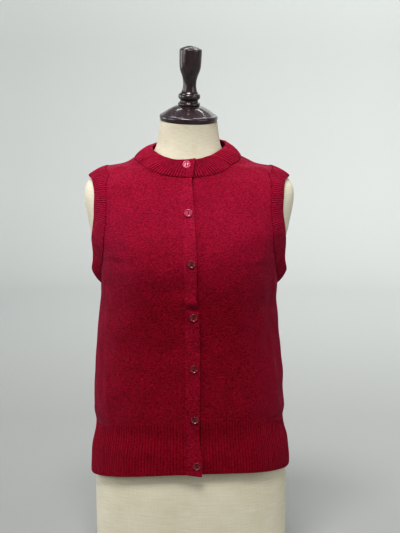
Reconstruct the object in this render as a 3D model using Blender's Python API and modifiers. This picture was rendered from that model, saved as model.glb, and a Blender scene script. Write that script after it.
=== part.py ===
# A button-front sweater vest worn on a limbless dress form, at its real size.
# Metres, +Z up, the front faces -Y and the wearer's right is at -X.
# The origin is the middle of the flat base that the form stands on.

from math import cos, pi, radians, sin, tan

import bmesh
import bpy
import numpy as np
from mathutils import Matrix, Vector
from mathutils.bvhtree import BVHTree

# Cloth
JERSEY_WALL = 0.0018
RIB_WALL = 0.0019
RIB_CREST = 0.0005  # a rib stands this far above the band's plain surface
RIB_FURROW = 0.0004  # and the furrow beside it lies this far below
SEAM_GAP = 0.0003
BAND_GAP = 0.0012  # at the neckline and the armholes, where the seam runs at a slant
WAIST_RADIUS = 0.165  # turns are changed into lengths with these three
SHOULDER_RADIUS = 0.045
FLANK_RADIUS = 0.12
SIDE_SPLIT = SEAM_GAP / 2 / WAIST_RADIUS  # half a seam's gap as a turn
SHOULDER_SPLIT = SEAM_GAP / 2 / SHOULDER_RADIUS
LAYER = JERSEY_WALL + 0.0013  # how far the upper button strip lies above the lower one
LAYER_FADE = 0.020  # the right front comes down to its own level over about this distance

# Counts of ribs and of grid cells
HEM_RIBS = {"front": 48, "back": 100}
NECK_RIBS = 112
ARMHOLE_RIBS = 100
PANEL_COLUMNS = {1: 12, -1: 10}  # from the middle to the side, front and back
PANEL_ROWS = {"side": 9, "armhole": 15, "front": 8, "back": 9}  # the last two reach the neckline
UNDERARM_RISE = 0.02  # a row that meets the underarm is this much higher at the middle
HEM_ROWS = 3  # of cells in the button strips, down the height of the hem
STRIP_COLUMNS = 3
FLAT_STEP = 8  # outer columns of a hem over one plain inner column
ROUND_STEP = 4  # the same for the neckband and the armhole bands
LAP_STEPS = 4  # points that the neckband's seam has under and over the button strips
CURVE_POINTS = 400  # on a smoothed line, before it is cut into even lengths
NORMAL_STEP = 1e-4  # a normal comes from points this far apart
SHARP_ABOVE = radians(50)

# Dress form: horizontal sections. side, front and back are distances from the middle of the
# section, middle is how far it is shifted in x, square is the power of its rounded outline
# (2 is an ellipse) and bust is what the two rounds add to the front.
FORM_COLUMNS = ("height", "side", "front", "back", "middle", "square", "bust")
FORM_ROWS = (
    (0.000, 0.1795, 0.106, 0.117, 0.000, 2.25, 0.000),
    (0.040, 0.1803, 0.108, 0.120, 0.000, 2.25, 0.000),
    (0.090, 0.1808, 0.111, 0.124, 0.000, 2.25, 0.000),
    (0.140, 0.1808, 0.113, 0.127, 0.000, 2.25, 0.000),
    (0.180, 0.1785, 0.113, 0.125, 0.000, 2.20, 0.000),
    (0.220, 0.1715, 0.111, 0.120, -0.001, 2.20, 0.000),
    (0.260, 0.1600, 0.108, 0.111, -0.001, 2.15, 0.000),
    (0.300, 0.1470, 0.103, 0.100, -0.002, 2.15, 0.000),
    (0.340, 0.1360, 0.097, 0.089, -0.002, 2.10, 0.000),
    (0.385, 0.1305, 0.092, 0.081, -0.002, 2.10, 0.000),
    (0.430, 0.1345, 0.094, 0.081, -0.003, 2.15, 0.000),
    (0.480, 0.1450, 0.103, 0.087, -0.003, 2.25, 0.002),
    (0.530, 0.1570, 0.114, 0.094, -0.003, 2.35, 0.009),
    (0.565, 0.1640, 0.118, 0.098, -0.003, 2.45, 0.012),
    (0.610, 0.1785, 0.111, 0.101, -0.003, 2.55, 0.008),
    (0.650, 0.1875, 0.101, 0.100, -0.003, 2.65, 0.003),
    (0.690, 0.1930, 0.090, 0.095, -0.003, 2.80, 0.000),
    (0.709, 0.1895, 0.084, 0.090, -0.003, 2.60, 0.000),
    (0.721, 0.1800, 0.079, 0.087, -0.003, 2.25, 0.000),
    (0.730, 0.1695, 0.074, 0.084, -0.003, 2.05, 0.000),
    (0.737, 0.1500, 0.070, 0.081, -0.003, 2.00, 0.000),
    (0.745, 0.1130, 0.064, 0.075, -0.003, 2.00, 0.000),
    (0.759, 0.0740, 0.057, 0.066, -0.004, 2.00, 0.000),
    (0.774, 0.0615, 0.055, 0.060, -0.004, 2.00, 0.000),
    (0.796, 0.0560, 0.055, 0.053, -0.004, 2.00, 0.000),
    (0.8245, 0.0525, 0.0575, 0.0475, -0.004, 2.00, 0.000),
)
FORM_AROUND = 36
FORM_RINGS = np.concatenate([
    (0.000, 0.050, 0.100, 0.150, 0.200, 0.240, 0.280, 0.320, 0.360, 0.400, 0.440, 0.480, 0.520),
    (0.560, 0.600, 0.640, 0.675, 0.700, 0.714, 0.724, 0.733, 0.741, 0.748, 0.756, 0.766, 0.780),
    (0.800, 0.8245),
])
NECK_TOP = 0.8245
CAP_LEAN = radians(8.0)  # the neck's top and its cap lean forward
CAP_TURN = radians(2.0)  # and a little towards the wearer's left
LEAN_FROM = 0.780

# Vest: sections of the outer face of the jersey. Between the bust and the shoulders the cloth
# lies on the form, so there its sections are the form's own, moved up and out.
CLOTH_COLUMNS = FORM_COLUMNS
CLOTH_ROWS = (
    (0.150, 0.1870, 0.127, 0.1345, -0.002, 2.25, 0.000),
    (0.180, 0.1868, 0.1255, 0.1330, -0.002, 2.25, 0.000),
    (0.205, 0.1857, 0.1240, 0.1315, -0.001, 2.25, 0.000),
    (0.235, 0.1812, 0.1225, 0.1275, -0.001, 2.25, 0.000),
    (0.262, 0.1765, 0.1195, 0.1235, -0.002, 2.25, 0.000),
    (0.282, 0.1768, 0.1205, 0.1220, -0.003, 2.25, 0.000),
    (0.315, 0.1778, 0.1205, 0.1175, -0.004, 2.30, 0.000),
    (0.357, 0.1755, 0.1185, 0.1120, -0.004, 2.30, 0.000),
    (0.414, 0.1695, 0.1165, 0.1060, -0.005, 2.35, 0.001),
    (0.460, 0.1655, 0.1180, 0.1040, -0.005, 2.40, 0.003),
    (0.500, 0.1635, 0.1205, 0.1030, -0.004, 2.40, 0.006),
    (0.533, 0.1640, 0.1240, 0.1030, -0.003, 2.45, 0.007),
)
CLOTH_NECK_ROWS = (
    (0.7535, 0.1085, 0.0665, 0.0778, -0.003, 2.00, 0.000),
    (0.762, 0.0940, 0.0640, 0.0745, -0.004, 2.00, 0.000),
    (0.775, 0.0790, 0.0610, 0.0690, -0.004, 2.00, 0.000),
    (0.800, 0.0700, 0.0590, 0.0600, -0.004, 2.00, 0.000),
)
CLOTH_OUT = 0.0042  # over the form
CLOTH_UP = 0.0037
BRIDGE = 0.35  # the share of the bust's rounds that the cloth spans straight across
BUST_TURN = radians(31)  # each round's place, from the middle of the front
BUST_WIDTH = radians(17)

# Largest folds in the cloth: each is a soft ridge (rise above 0) or trough in the outer face.
# turn is its middle, from the front towards +X; lean tips its upper end towards +X.
FOLD_COLUMNS = ("turn", "height", "length", "width", "lean", "rise")
FOLD_ROWS = (
    (-78, 0.440, 0.080, 0.016, 4, 0.0030),
    (-62, 0.400, 0.090, 0.014, -6, -0.0020),
    (76, 0.420, 0.090, 0.016, -4, 0.0030),
    (58, 0.460, 0.080, 0.014, 8, -0.0022),
    (-70, 0.286, 0.010, 0.050, 0, 0.0016),
    (72, 0.292, 0.010, 0.050, 0, 0.0018),
    (-4, 0.512, 0.009, 0.016, 0, 0.0026),
    (-104, 0.470, 0.090, 0.018, -5, 0.0030),
    (106, 0.450, 0.090, 0.018, 5, 0.0028),
    (150, 0.420, 0.100, 0.020, 10, -0.0025),
    (-152, 0.440, 0.100, 0.020, -8, -0.0025),
    (180, 0.395, 0.060, 0.045, 0, 0.0025),
)

# Hem: its bottom edge and its seam to the jersey, at the sides and back; both ride up over the
# front, and a little towards the wearer's left.
HEM_BOTTOM = 0.1730
HEM_TOP = 0.268
HEM_FRONT_RISE = 0.0183
HEM_TILT = {"bottom": 0.0065, "top": 0.005}
LEFT_HIGHER = {"bottom": 0.0, "top": 0.006}  # by how much the left front's ribs run on
CORNER_TURN = radians(5)  # about where the button opening meets the hem

# Neckline: height of the seam and of the band's upper edge, by the turn from the front.
NECK_COLUMNS = ("turn", "seam", "edge")
NECK_ROWS = (
    (0, 0.7240, 0.7550),
    (18, 0.7326, 0.7565),
    (25, 0.7388, 0.7578),
    (31, 0.7424, 0.7593),
    (38, 0.7451, 0.7615),
    (48, 0.7495, 0.7654),
    (58, 0.7535, 0.7692),
    (72, 0.7580, 0.7740),
    (90, 0.7618, 0.7785),
    (125, 0.7668, 0.7860),
    (180, 0.7700, 0.7910),
)
NECK_TILT = {"seam": 0.0012, "edge": 0.0035}  # both stand higher at the wearer's left
NECK_EDGE = {"side": 0.0670, "front": 0.0695, "back": 0.0700, "middle": -0.0036}
NECK_CROWN = 0.0035  # how far the band bows out between its seam and its edge
NECK_LAP = {"over": radians(2.5), "under": radians(-8), "fade": radians(26)}
NECK_LIFT = LAYER + RIB_CREST + 0.0002  # of the band's upper end over its lower one

# Armhole: seam and free edge of its band, from the underarm up to the shoulder. forward is
# the angle from the side towards the front, and out is how far the edge stands off the body.
SEAM_COLUMNS = ("height", "forward")
SEAM_ROWS = (
    (0.5255, 0.0),
    (0.5285, 8.0),
    (0.5390, 15.5),
    (0.5610, 22.5),
    (0.5850, 31.0),
    (0.6100, 38.0),
    (0.6400, 43.0),
    (0.6700, 46.0),
    (0.7000, 46.5),
    (0.7160, 44.0),
    (0.7268, 39.0),
    (0.7338, 31.0),
    (0.7393, 17.0),
    (0.7418, 0.0),
)
EDGE_COLUMNS = ("height", "forward", "out")
EDGE_ROWS = (
    (0.5510, 0.0, 0.0145),
    (0.5545, 7.0, 0.0145),
    (0.5640, 12.5, 0.0128),
    (0.5775, 15.5, 0.0085),
    (0.5935, 17.5, 0.0042),
    (0.6120, 22.0, 0.0010),
    (0.6400, 30.5, 0.0000),
    (0.6700, 36.5, 0.0000),
    (0.6900, 38.0, 0.0000),
    (0.7040, 36.5, 0.0000),
    (0.7150, 31.5, 0.0000),
    (0.7218, 20.0, 0.0000),
    (0.7250, 0.0, 0.0000),
)
ARMHOLE_CROWN = 0.0020
BACK_SHARE = 0.94  # the back armhole reaches a little less far in than the front one

# Button opening: x of the upper strip's seam and free edge and of the lower strip's seam.
CLOSING_COLUMNS = ("height", "over_seam", "over_edge", "under_seam")
CLOSING_ROWS = (
    (0.180, -0.0060, 0.0200, 0.0185),
    (0.215, -0.0066, 0.0215, 0.0179),
    (0.262, -0.0075, 0.0150, 0.0170),
    (0.290, -0.0080, 0.0168, 0.0165),
    (0.400, -0.0085, 0.0170, 0.0160),
    (0.490, -0.0092, 0.0160, 0.0140),
    (0.515, -0.0095, 0.0110, 0.0130),
    (0.560, -0.0100, 0.0125, 0.0120),
    (0.600, -0.0112, 0.0112, 0.0105),
    (0.660, -0.0150, 0.0070, 0.0070),
    (0.724, -0.0190, 0.0027, 0.0030),
    (0.740, -0.0200, 0.0020, 0.0020),
)
CLOSING_SEAM = {-1: "over_seam", 1: "under_seam"}  # by side: -1 is the wearer's right
UNDER_STRIP = 0.0222  # width of the lower strip
STRIP_DROP = {"over": 0.004, "under": -0.001}  # how far each strip's free corner hangs below the hem

# Buttons
BUTTON_PLACES = (  # height, x
    (0.7460, -0.0069),
    (0.6620, -0.0038),
    (0.5745, 0.0019),
    (0.4785, 0.0056),
    (0.3845, 0.0063),
    (0.2925, 0.0077),
    (0.2075, 0.0113),
)
BUTTON_PROFILE = (  # radius, height above its back, from the middle of the face round to the back
    (0.0000, 0.0016),
    (0.0045, 0.0016),
    (0.0059, 0.0028),
    (0.0071, 0.0023),
    (0.0075, 0.0013),
    (0.0062, 0.0000),
    (0.0000, 0.0000),
)
BUTTON_STEPS = 16
BUTTON_BACK = 0.0062  # radius of its flat back
FEELER = 0.02  # rays that find what a button rests on start this far out

# Neck cap and finial: radius and height above the cap's flat underside
CAP_PROFILE = (
    (0.0000, 0.1350),
    (0.0110, 0.1340),
    (0.0180, 0.1300),
    (0.0202, 0.1250),
    (0.0198, 0.1000),
    (0.0180, 0.0900),
    (0.0142, 0.0800),
    (0.0120, 0.0690),
    (0.0126, 0.0590),
    (0.0152, 0.0510),
    (0.0196, 0.0455),
    (0.0200, 0.0405),
    (0.0166, 0.0360),
    (0.0200, 0.0315),
    (0.0200, 0.0270),
    (0.0290, 0.0245),
    (0.0500, 0.0100),
    (0.0530, 0.0060),
    (0.0520, 0.0015),
    (0.0480, 0.0000),
    (0.0000, 0.0000),
)
CAP_STEPS = 24
CAP_GAP = 0.0005  # between the neck's top and the cap's underside

RED = (0.33, 0.006, 0.022)
CREAM = (0.76, 0.71, 0.58)
MAHOGANY = (0.035, 0.009, 0.010)
BURGUNDY = (0.22, 0.015, 0.035)


# ---- Numbers ----


def spline(x, xs, ys):
    # Natural cubic spline through a table's rows, held level past its two ends.
    x = np.clip(x, xs[0], xs[-1])
    h = np.diff(xs)
    slope = np.diff(ys) / h
    system = np.eye(len(xs))
    for k in range(1, len(xs) - 1):
        system[k, k - 1 : k + 2] = h[k - 1], 2 * (h[k - 1] + h[k]), h[k]
    bend = np.linalg.solve(system, np.concatenate(([0.0], 6 * np.diff(slope), [0.0])))
    i = np.clip(np.searchsorted(xs, x, side="right") - 1, 0, len(xs) - 2)
    before, after = x - xs[i], xs[i + 1] - x
    return (
        (bend[i] * after**3 + bend[i + 1] * before**3) / (6 * h[i])
        + (ys[i] / h[i] - bend[i] * h[i] / 6) * after
        + (ys[i + 1] / h[i] - bend[i + 1] * h[i] / 6) * before
    )


def table(columns, rows):
    return dict(zip(columns, np.array(rows, float).T))


def unit(vectors):
    return vectors / np.linalg.norm(vectors, axis=-1, keepdims=True)


def lengths_along(points):
    steps = np.linalg.norm(np.diff(points, axis=0), axis=1)
    return np.concatenate(([0.0], np.cumsum(steps)))


def resample(values, lengths, count):
    # count + 1 rows of values, evenly spaced in length.
    marks = np.linspace(0, lengths[-1], count + 1)
    return np.stack([np.interp(marks, lengths, column) for column in values.T], axis=1)


# ---- The body and the cloth as stacked sections ----


class Stack:
    # Horizontal sections, smoothed along the path that their side and front edges draw, so
    # that level shoulders and upright flanks are followed alike.
    def __init__(self, columns, rows):
        self.rows = table(columns, rows)
        corners = np.stack([self.rows["side"] + self.rows["front"], self.rows["height"]], axis=1)
        self.stations = lengths_along(corners)
        self.fine = np.linspace(0, self.stations[-1], 5 * CURVE_POINTS)
        self.heights = spline(self.fine, self.stations, self.rows["height"])

    def at(self, name, height):
        station = np.interp(height, self.heights, self.fine)
        return spline(station, self.stations, self.rows[name])

    def point(self, turn, height):
        # The outline of a section is |x/side|^n + |y/depth|^n = 1, met by a ray at this turn.
        n = self.at("square", height)
        east, south = np.sin(turn), np.cos(turn)
        reach = (np.abs(east) ** n + np.abs(south) ** n) ** (-1 / n)
        beside = np.abs(wrapped(turn)) - BUST_TURN
        bust = self.at("bust", height) * np.exp(-((beside / BUST_WIDTH) ** 2))
        depth = np.where(south > 0, self.at("front", height) + bust, self.at("back", height))
        x = self.at("middle", height) + self.at("side", height) * reach * east
        return np.stack(np.broadcast_arrays(x, -depth * reach * south, height), axis=-1)

    def turn_of(self, x, height):
        # The turn at which the front of a section has this x.
        n = self.at("square", height)
        share = (x - self.at("middle", height)) / self.at("side", height)
        return np.arctan2(share, (1 - np.abs(share) ** n) ** (1 / n))


def wrapped(turn):
    return (np.asarray(turn) + pi) % (2 * pi) - pi


FORM = Stack(FORM_COLUMNS, FORM_ROWS)


def cloth_rows():
    lying = []
    for height, side, front, back, middle, square, bust in FORM_ROWS:
        if CLOTH_ROWS[-1][0] < height < CLOTH_NECK_ROWS[0][0] - CLOTH_UP:
            front = front + CLOTH_OUT + BRIDGE * bust
            sizes = (side + CLOTH_OUT, front, back + CLOTH_OUT)
            lying.append((height + CLOTH_UP, *sizes, middle, square, (1 - BRIDGE) * bust))
    return CLOTH_ROWS + tuple(lying) + CLOTH_NECK_ROWS


CLOTH = Stack(CLOTH_COLUMNS, cloth_rows())
FOLDS = [dict(zip(FOLD_COLUMNS, row)) for row in FOLD_ROWS]


def fold_rise(turn, height):
    # Each fold is a bell across its width and along its length.
    rise = 0.0
    for fold in FOLDS:
        across = wrapped(turn - radians(fold["turn"])) * WAIST_RADIUS
        along = height - fold["height"]
        lean = radians(fold["lean"])
        side = across * cos(lean) - along * sin(lean)
        run = across * sin(lean) + along * cos(lean)
        rise = rise + fold["rise"] * np.exp(
            -((side / fold["width"]) ** 2) - (run / fold["length"]) ** 2
        )
    return rise


def cloth_normal(turn, height):
    step = NORMAL_STEP
    sideways = CLOTH.point(turn + step, height) - CLOTH.point(turn - step, height)
    upwards = CLOTH.point(turn, height + step) - CLOTH.point(turn, height - step)
    return unit(np.cross(sideways, upwards))


def cloth(turn, height, out=0.0):
    # A point of the jersey's outer face, moved out by a distance, and the normal there.
    turn, height = np.broadcast_arrays(np.asarray(turn, float), np.asarray(height, float))
    normal = cloth_normal(turn, height)
    rise = fold_rise(turn, height) + out
    return CLOTH.point(turn, height) + normal * rise[..., None], normal


# ---- Lines on the cloth, as (turn, height) ----

CLOSING = table(CLOSING_COLUMNS, CLOSING_ROWS)
NECK = table(NECK_COLUMNS, NECK_ROWS)
ARM_SEAM = table(SEAM_COLUMNS, SEAM_ROWS)
ARM_EDGE = table(EDGE_COLUMNS, EDGE_ROWS)


def closing_x(name, height):
    return np.interp(height, CLOSING["height"], CLOSING[name])


def hem_line(turn, which):
    base = {"bottom": HEM_BOTTOM, "top": HEM_TOP}[which]
    rise = HEM_FRONT_RISE + LEFT_HIGHER[which] * (np.sin(turn) > 0)
    rise = rise * np.clip(np.cos(turn), 0, None) ** 2
    return base + rise + HEM_TILT[which] * np.sin(turn)


def neck_line(turn, which):
    height = spline(np.abs(wrapped(turn)), np.radians(NECK["turn"]), NECK[which])
    return height + NECK_TILT[which] * np.sin(turn)


def neck_edge(turn):
    # The neckband's free edge: an ellipse round the neck, clear of it.
    depth = np.where(np.cos(turn) > 0, NECK_EDGE["front"], NECK_EDGE["back"])
    x = NECK_EDGE["middle"] + NECK_EDGE["side"] * np.sin(turn)
    return np.stack([x, -depth * np.cos(turn), neck_line(turn, "edge")], axis=-1)


def through(rows, count=CURVE_POINTS):
    # A smooth line through an armhole table's rows, underarm to shoulder.
    steps = np.stack([rows["height"], np.radians(rows["forward"]) * FLANK_RADIUS], axis=1)
    marks = lengths_along(steps)
    fine = np.linspace(0, marks[-1], count)
    return {name: spline(fine, marks, values) for name, values in rows.items()}


def armhole_seam(side, face):
    # side is 1 at the wearer's left; face is 1 for the front half and -1 for the back half.
    line = through(ARM_SEAM)
    share = 1.0 if face > 0 else BACK_SHARE
    turn = side * (pi / 2 - face * share * np.radians(line["forward"]))
    return np.stack([turn, line["height"]], axis=1)


def on_cloth(path):
    return cloth(path[:, 0], path[:, 1])[0]


def evenly(path, count):
    return resample(path, lengths_along(on_cloth(path)), count)


def join(*paths):
    return np.concatenate([paths[0]] + [path[1:] for path in paths[1:]])


def straight(start, end, count=CURVE_POINTS):
    return np.linspace(start, end, count)


# ---- Grids of (turn, height) ----


def patch(bottom, top, left, right):
    # Coons patch: a grid that meets four given edges and blends evenly between them.
    s = np.linspace(0, 1, len(bottom))[None, :, None]
    t = np.linspace(0, 1, len(left))[:, None, None]
    ruled = (1 - t) * bottom[None] + t * top[None]
    across = (1 - s) * left[:, None] + s * right[:, None]
    corners = (1 - t) * ((1 - s) * bottom[0] + s * bottom[-1])
    corners = corners + t * ((1 - s) * top[0] + s * top[-1])
    return ruled + across - corners


def side_edge(side, face):
    # Side seam and armhole of one half, from the hem to the shoulder's tip.
    hole = armhole_seam(side, face)
    split = face * side * np.linspace(SIDE_SPLIT, SHOULDER_SPLIT, len(hole))
    hole[:, 0] -= split
    seam = straight((hole[0, 0], hem_line(side * pi / 2, "top") + SEAM_GAP / 2), hole[0])
    return join(evenly(seam, PANEL_ROWS["side"]), evenly(hole, PANEL_ROWS["armhole"]))


def middle_edge(side, face, low, middle):
    # Button opening or middle of the back, then the neckline out to the shoulder.
    rows = PANEL_ROWS["front" if face > 0 else "back"]
    lowest = NECK["seam"][0]
    if face > 0:
        corner = CLOTH.turn_of(closing_x(CLOSING_SEAM[side], lowest), lowest)
    else:
        corner = side * pi
    high = neck_line(corner, "seam")
    heights = np.concatenate([
        np.linspace(low, middle, PANEL_ROWS["side"] + 1),
        np.linspace(middle, high, rows + 1)[1:],
    ])
    if face > 0:
        x = closing_x(CLOSING_SEAM[side], heights) + side * SEAM_GAP
        turn = CLOTH.turn_of(x, heights)
    else:
        turn = np.full(len(heights), corner)
    turns = np.linspace(turn[-1], side * (pi / 2 - face * SHOULDER_SPLIT), CURVE_POINTS)
    neckline = np.stack([turns, neck_line(turns, "seam")], axis=1)
    around = evenly(neckline, PANEL_ROWS["armhole"] - rows)
    return join(np.stack([turn, heights], axis=1), around)


def half_panel(side, face):
    # A quarter of the vest: rows from the hem up to the shoulder seam, columns from the middle
    # of the front or back out to the side.
    outer = side_edge(side, face)
    hem = hem_line(side * (CORNER_TURN if face > 0 else pi), "top") + SEAM_GAP / 2
    inner = middle_edge(side, face, hem, outer[PANEL_ROWS["side"], 1] + UNDERARM_RISE)
    top = evenly(straight(inner[-1], outer[-1]), PANEL_COLUMNS[face])
    turns = np.linspace(inner[0, 0], outer[0, 0], len(top))
    bottom = np.stack([turns, hem_line(turns, "top") + SEAM_GAP / 2], axis=1)
    inner[0], outer[0] = bottom[0], bottom[-1]
    return patch(bottom, top, inner, outer)


# ---- Meshes ----


def material(name, colour, roughness, metallic=0.0):
    made = bpy.data.materials.new(name)
    made.use_nodes = True
    shader = made.node_tree.nodes["Principled BSDF"]
    shader.inputs["Base Color"].default_value = (*colour, 1.0)
    shader.inputs["Roughness"].default_value = roughness
    shader.inputs["Metallic"].default_value = metallic
    made.diffuse_color = (*colour, 1.0)
    return made


def add_object(name, points, faces, finish, collection):
    mesh = bpy.data.meshes.new(name)
    faces = [tuple(int(k) for k in face) for face in faces]
    mesh.from_pydata([tuple(point) for point in points], [], faces)
    work = bmesh.new()
    work.from_mesh(mesh)
    bmesh.ops.recalc_face_normals(work, faces=work.faces)
    work.to_mesh(mesh)
    work.free()
    mesh.materials.append(finish)
    obj = bpy.data.objects.new(name, mesh)
    collection.objects.link(obj)
    mesh.shade_smooth()
    mesh.set_sharp_from_angle(angle=SHARP_ABOVE)
    return obj


def grid_faces(ids):
    return [
        (ids[i, j], ids[i, j + 1], ids[i + 1, j + 1], ids[i + 1, j])
        for i in range(ids.shape[0] - 1)
        for j in range(ids.shape[1] - 1)
    ]


def open_edges(faces):
    # Edges that only one face uses.
    count = {}
    for face in faces:
        for a, b in zip(face, face[1:] + face[:1]):
            key = (min(a, b), max(a, b))
            count[key] = count.get(key, 0) + 1
    return [edge for edge, uses in count.items() if uses == 1]


def strip_between(fine, coarse, step):
    # Faces that join a row of points to a plain row with one point for every step of them.
    faces = []
    for k in range(len(coarse) - 1):
        run = fine[k * step : (k + 1) * step + 1]
        faces.append((*run[: step // 2 + 1], coarse[k]))
        faces.append((*run[step // 2 :], coarse[k + 1], coarse[k]))
    return faces


def wall(name, outer, inner, finish, collection, ring=False):
    # A closed wall: a grid of outer points, a plainer grid of inner points, and its borders.
    # The inner grid has the same rows, and one column for every step of outer columns.
    rows = len(outer)
    columns, plain = outer.shape[1], inner.shape[1]
    step = columns // plain if ring else (columns - 1) // (plain - 1)
    face_ids = np.arange(rows * columns).reshape(rows, columns)
    back_ids = np.arange(rows * plain).reshape(rows, plain) + rows * columns
    if ring:
        face_ids = np.concatenate([face_ids, face_ids[:, :1]], axis=1)
        back_ids = np.concatenate([back_ids, back_ids[:, :1]], axis=1)
    faces = grid_faces(face_ids) + grid_faces(back_ids)
    for i in (0, rows - 1):
        if step == 1:
            a, b = face_ids[i], back_ids[i]
            faces += [(a[j], a[j + 1], b[j + 1], b[j]) for j in range(len(a) - 1)]
        else:
            faces += strip_between(face_ids[i], back_ids[i], step)
    if not ring:
        for j in (0, -1):
            a, b = face_ids[:, j], back_ids[:, j]
            faces += [(a[i], a[i + 1], b[i + 1], b[i]) for i in range(rows - 1)]
    points = np.concatenate([outer.reshape(-1, 3), inner.reshape(-1, 3)])
    return add_object(name, points, faces, finish, collection)


def ribbed(surface, normal, step, ring=False):
    # Outer points raised and sunk in turn, column by column, over a plain inner grid.
    wave = np.where(np.arange(surface.shape[1]) % 2 == 1, RIB_CREST, -RIB_FURROW)
    outer = surface + normal * wave[None, :, None]
    inner = surface - normal * RIB_WALL
    return outer, inner[:, ::step]


def lapped(x, height):
    # How far the right front is lifted where it nears the strip that lies on top.
    distance = np.clip(closing_x("over_seam", height) - x, 0, None)
    return LAYER * np.exp(-((distance / LAYER_FADE) ** 2))


# ---- Pieces ----


def make_panel(name, halves, finish, collection, lap=False):
    # One or two half panels, welded where they meet, as a closed wall.
    outer, normals, faces, start = [], [], [], 0
    for grid in halves:
        turn, height = grid[..., 0], grid[..., 1]
        out = lapped(cloth(turn, height)[0][..., 0], height) if lap else 0.0
        points, normal = cloth(turn, height, out)
        ids = np.arange(turn.size).reshape(turn.shape) + start
        start += turn.size
        faces += grid_faces(ids)
        outer.append(points.reshape(-1, 3))
        normals.append(normal.reshape(-1, 3))
    outer, normals = np.concatenate(outer), np.concatenate(normals)
    _, first, same = np.unique(
        np.round(outer, 7), axis=0, return_index=True, return_inverse=True
    )
    same = same.reshape(-1)
    faces = [tuple(same[list(face)]) for face in faces]
    outer, normals = outer[first], normals[first]
    behind = [tuple(k + len(outer) for k in face) for face in faces]
    rims = [(a, b, b + len(outer), a + len(outer)) for a, b in open_edges(faces)]
    points = np.concatenate([outer, outer - normals * JERSEY_WALL])
    return add_object(name, points, faces + behind + rims, finish, collection)


def hem_levels(turn):
    # Heights of the band's three rows at a turn.
    bottom, top = hem_line(turn, "bottom"), hem_line(turn, "top") - SEAM_GAP / 2
    return np.stack([bottom, (bottom + top) / 2, top])


def make_hem(name, start, end, ribs, finish, collection, lap=False):
    # start and end give the turn of each end of the band at a height.
    share = np.linspace(0, 1, 2 * ribs + 1)[None, :]
    first, last = (edge(hem_levels(edge(HEM_TOP)))[:, None] for edge in (start, end))
    turns = first * (1 - share) + last * share
    heights = np.stack([hem_levels(turns[row])[row] for row in range(3)])
    out = lapped(cloth(turns, heights)[0][..., 0], heights) if lap else 0.0
    surface, normal = cloth(turns, heights, out)
    return wall(name, *ribbed(surface, normal, FLAT_STEP), finish, collection)


def make_hems(finish, collection):
    def upright(turn):
        return lambda height: np.full(np.shape(height), turn)

    def beside(side):
        return lambda height: CLOTH.turn_of(
            closing_x(CLOSING_SEAM[side], height) + side * SEAM_GAP, height
        )

    ribs, quarter = HEM_RIBS["front"], pi / 2
    right, left = upright(SIDE_SPLIT - quarter), upright(quarter - SIDE_SPLIT)
    make_hem("hem_front_right", right, beside(-1), ribs, finish, collection, lap=True)
    make_hem("hem_front_left", beside(1), left, ribs, finish, collection)
    start, end = upright(quarter + SIDE_SPLIT), upright(3 * quarter - SIDE_SPLIT)
    make_hem("hem_back", start, end, HEM_RIBS["back"], finish, collection)


def make_strip(name, heights, first, last, out, drop, finish, collection):
    # A strip of the button opening, between two lines of x, on rows of the panel beside it.
    share = np.linspace(0, 1, STRIP_COLUMNS + 1)[None, :]
    rows = np.repeat(heights[:, None], STRIP_COLUMNS + 1, axis=1)
    x = first(rows) * (1 - share) + last(rows) * share
    turn = CLOTH.turn_of(x, rows)
    rows[0] = hem_line(turn[0], "bottom") - drop * share[0]
    rows[-1] = neck_line(turn[-1], "seam")
    outer, normal = cloth(turn, rows, out)
    return wall(name, outer, outer - normal * JERSEY_WALL, finish, collection)


def make_strips(halves, finish, collection):
    bottom, top = HEM_BOTTOM + HEM_FRONT_RISE, HEM_TOP + HEM_FRONT_RISE
    hem_rows = np.linspace(bottom, top, HEM_ROWS + 1)[:-1]
    panel_rows = PANEL_ROWS["side"] + PANEL_ROWS["front"] + 1
    heights = {
        side: np.concatenate([hem_rows, halves[side, 1][:panel_rows, 0, 1]]) for side in (-1, 1)
    }
    over = make_strip(
        "placket_over",
        heights[-1],
        lambda z: closing_x("over_seam", z),
        lambda z: closing_x("over_edge", z),
        LAYER,
        STRIP_DROP["over"],
        finish,
        collection,
    )
    make_strip(
        "placket_under",
        heights[1],
        lambda z: closing_x("under_seam", z) - UNDER_STRIP,
        lambda z: closing_x("under_seam", z),
        0.0,
        STRIP_DROP["under"],
        finish,
        collection,
    )
    return over


def strip_surface(low, high, crown, ring=False):
    # Three rows from one edge of a band to the other, crowned in between, with normals.
    across = unit(high - low)
    if ring:
        run = np.roll(low, -1, axis=0) - np.roll(low, 1, axis=0)
    else:
        run = np.gradient(low, axis=0)
    normal = unit(np.cross(run, across))
    middle = (low + high) / 2 + normal * crown
    return np.stack([low + across * BAND_GAP, middle, high]), np.stack([normal] * 3)


def neck_seam(halves):
    # The panels' own points along the neckline, from the lower end of the band at the front
    # round towards +X and the back to the band's upper end.
    def around(side, face):
        start = PANEL_ROWS["side"] + PANEL_ROWS["front" if face > 0 else "back"]
        return halves[side, face][start:, 0]

    full = np.array([2 * pi, 0.0])
    lap = np.linspace(NECK_LAP["under"], around(1, 1)[0, 0], LAP_STEPS + 1)[:-1]
    first = np.stack([lap, neck_line(lap, "seam")], axis=1)
    lap = np.linspace(around(-1, 1)[0, 0], NECK_LAP["over"], LAP_STEPS + 1)[1:]
    last = np.stack([lap, neck_line(lap, "seam")], axis=1) + full
    left = np.concatenate([around(1, 1)[:-1], around(1, -1)[-2::-1]])
    right = np.concatenate([around(-1, -1)[1:-1] + full, around(-1, 1)[-2::-1] + full])
    return np.concatenate([first, left, right, last])


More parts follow.
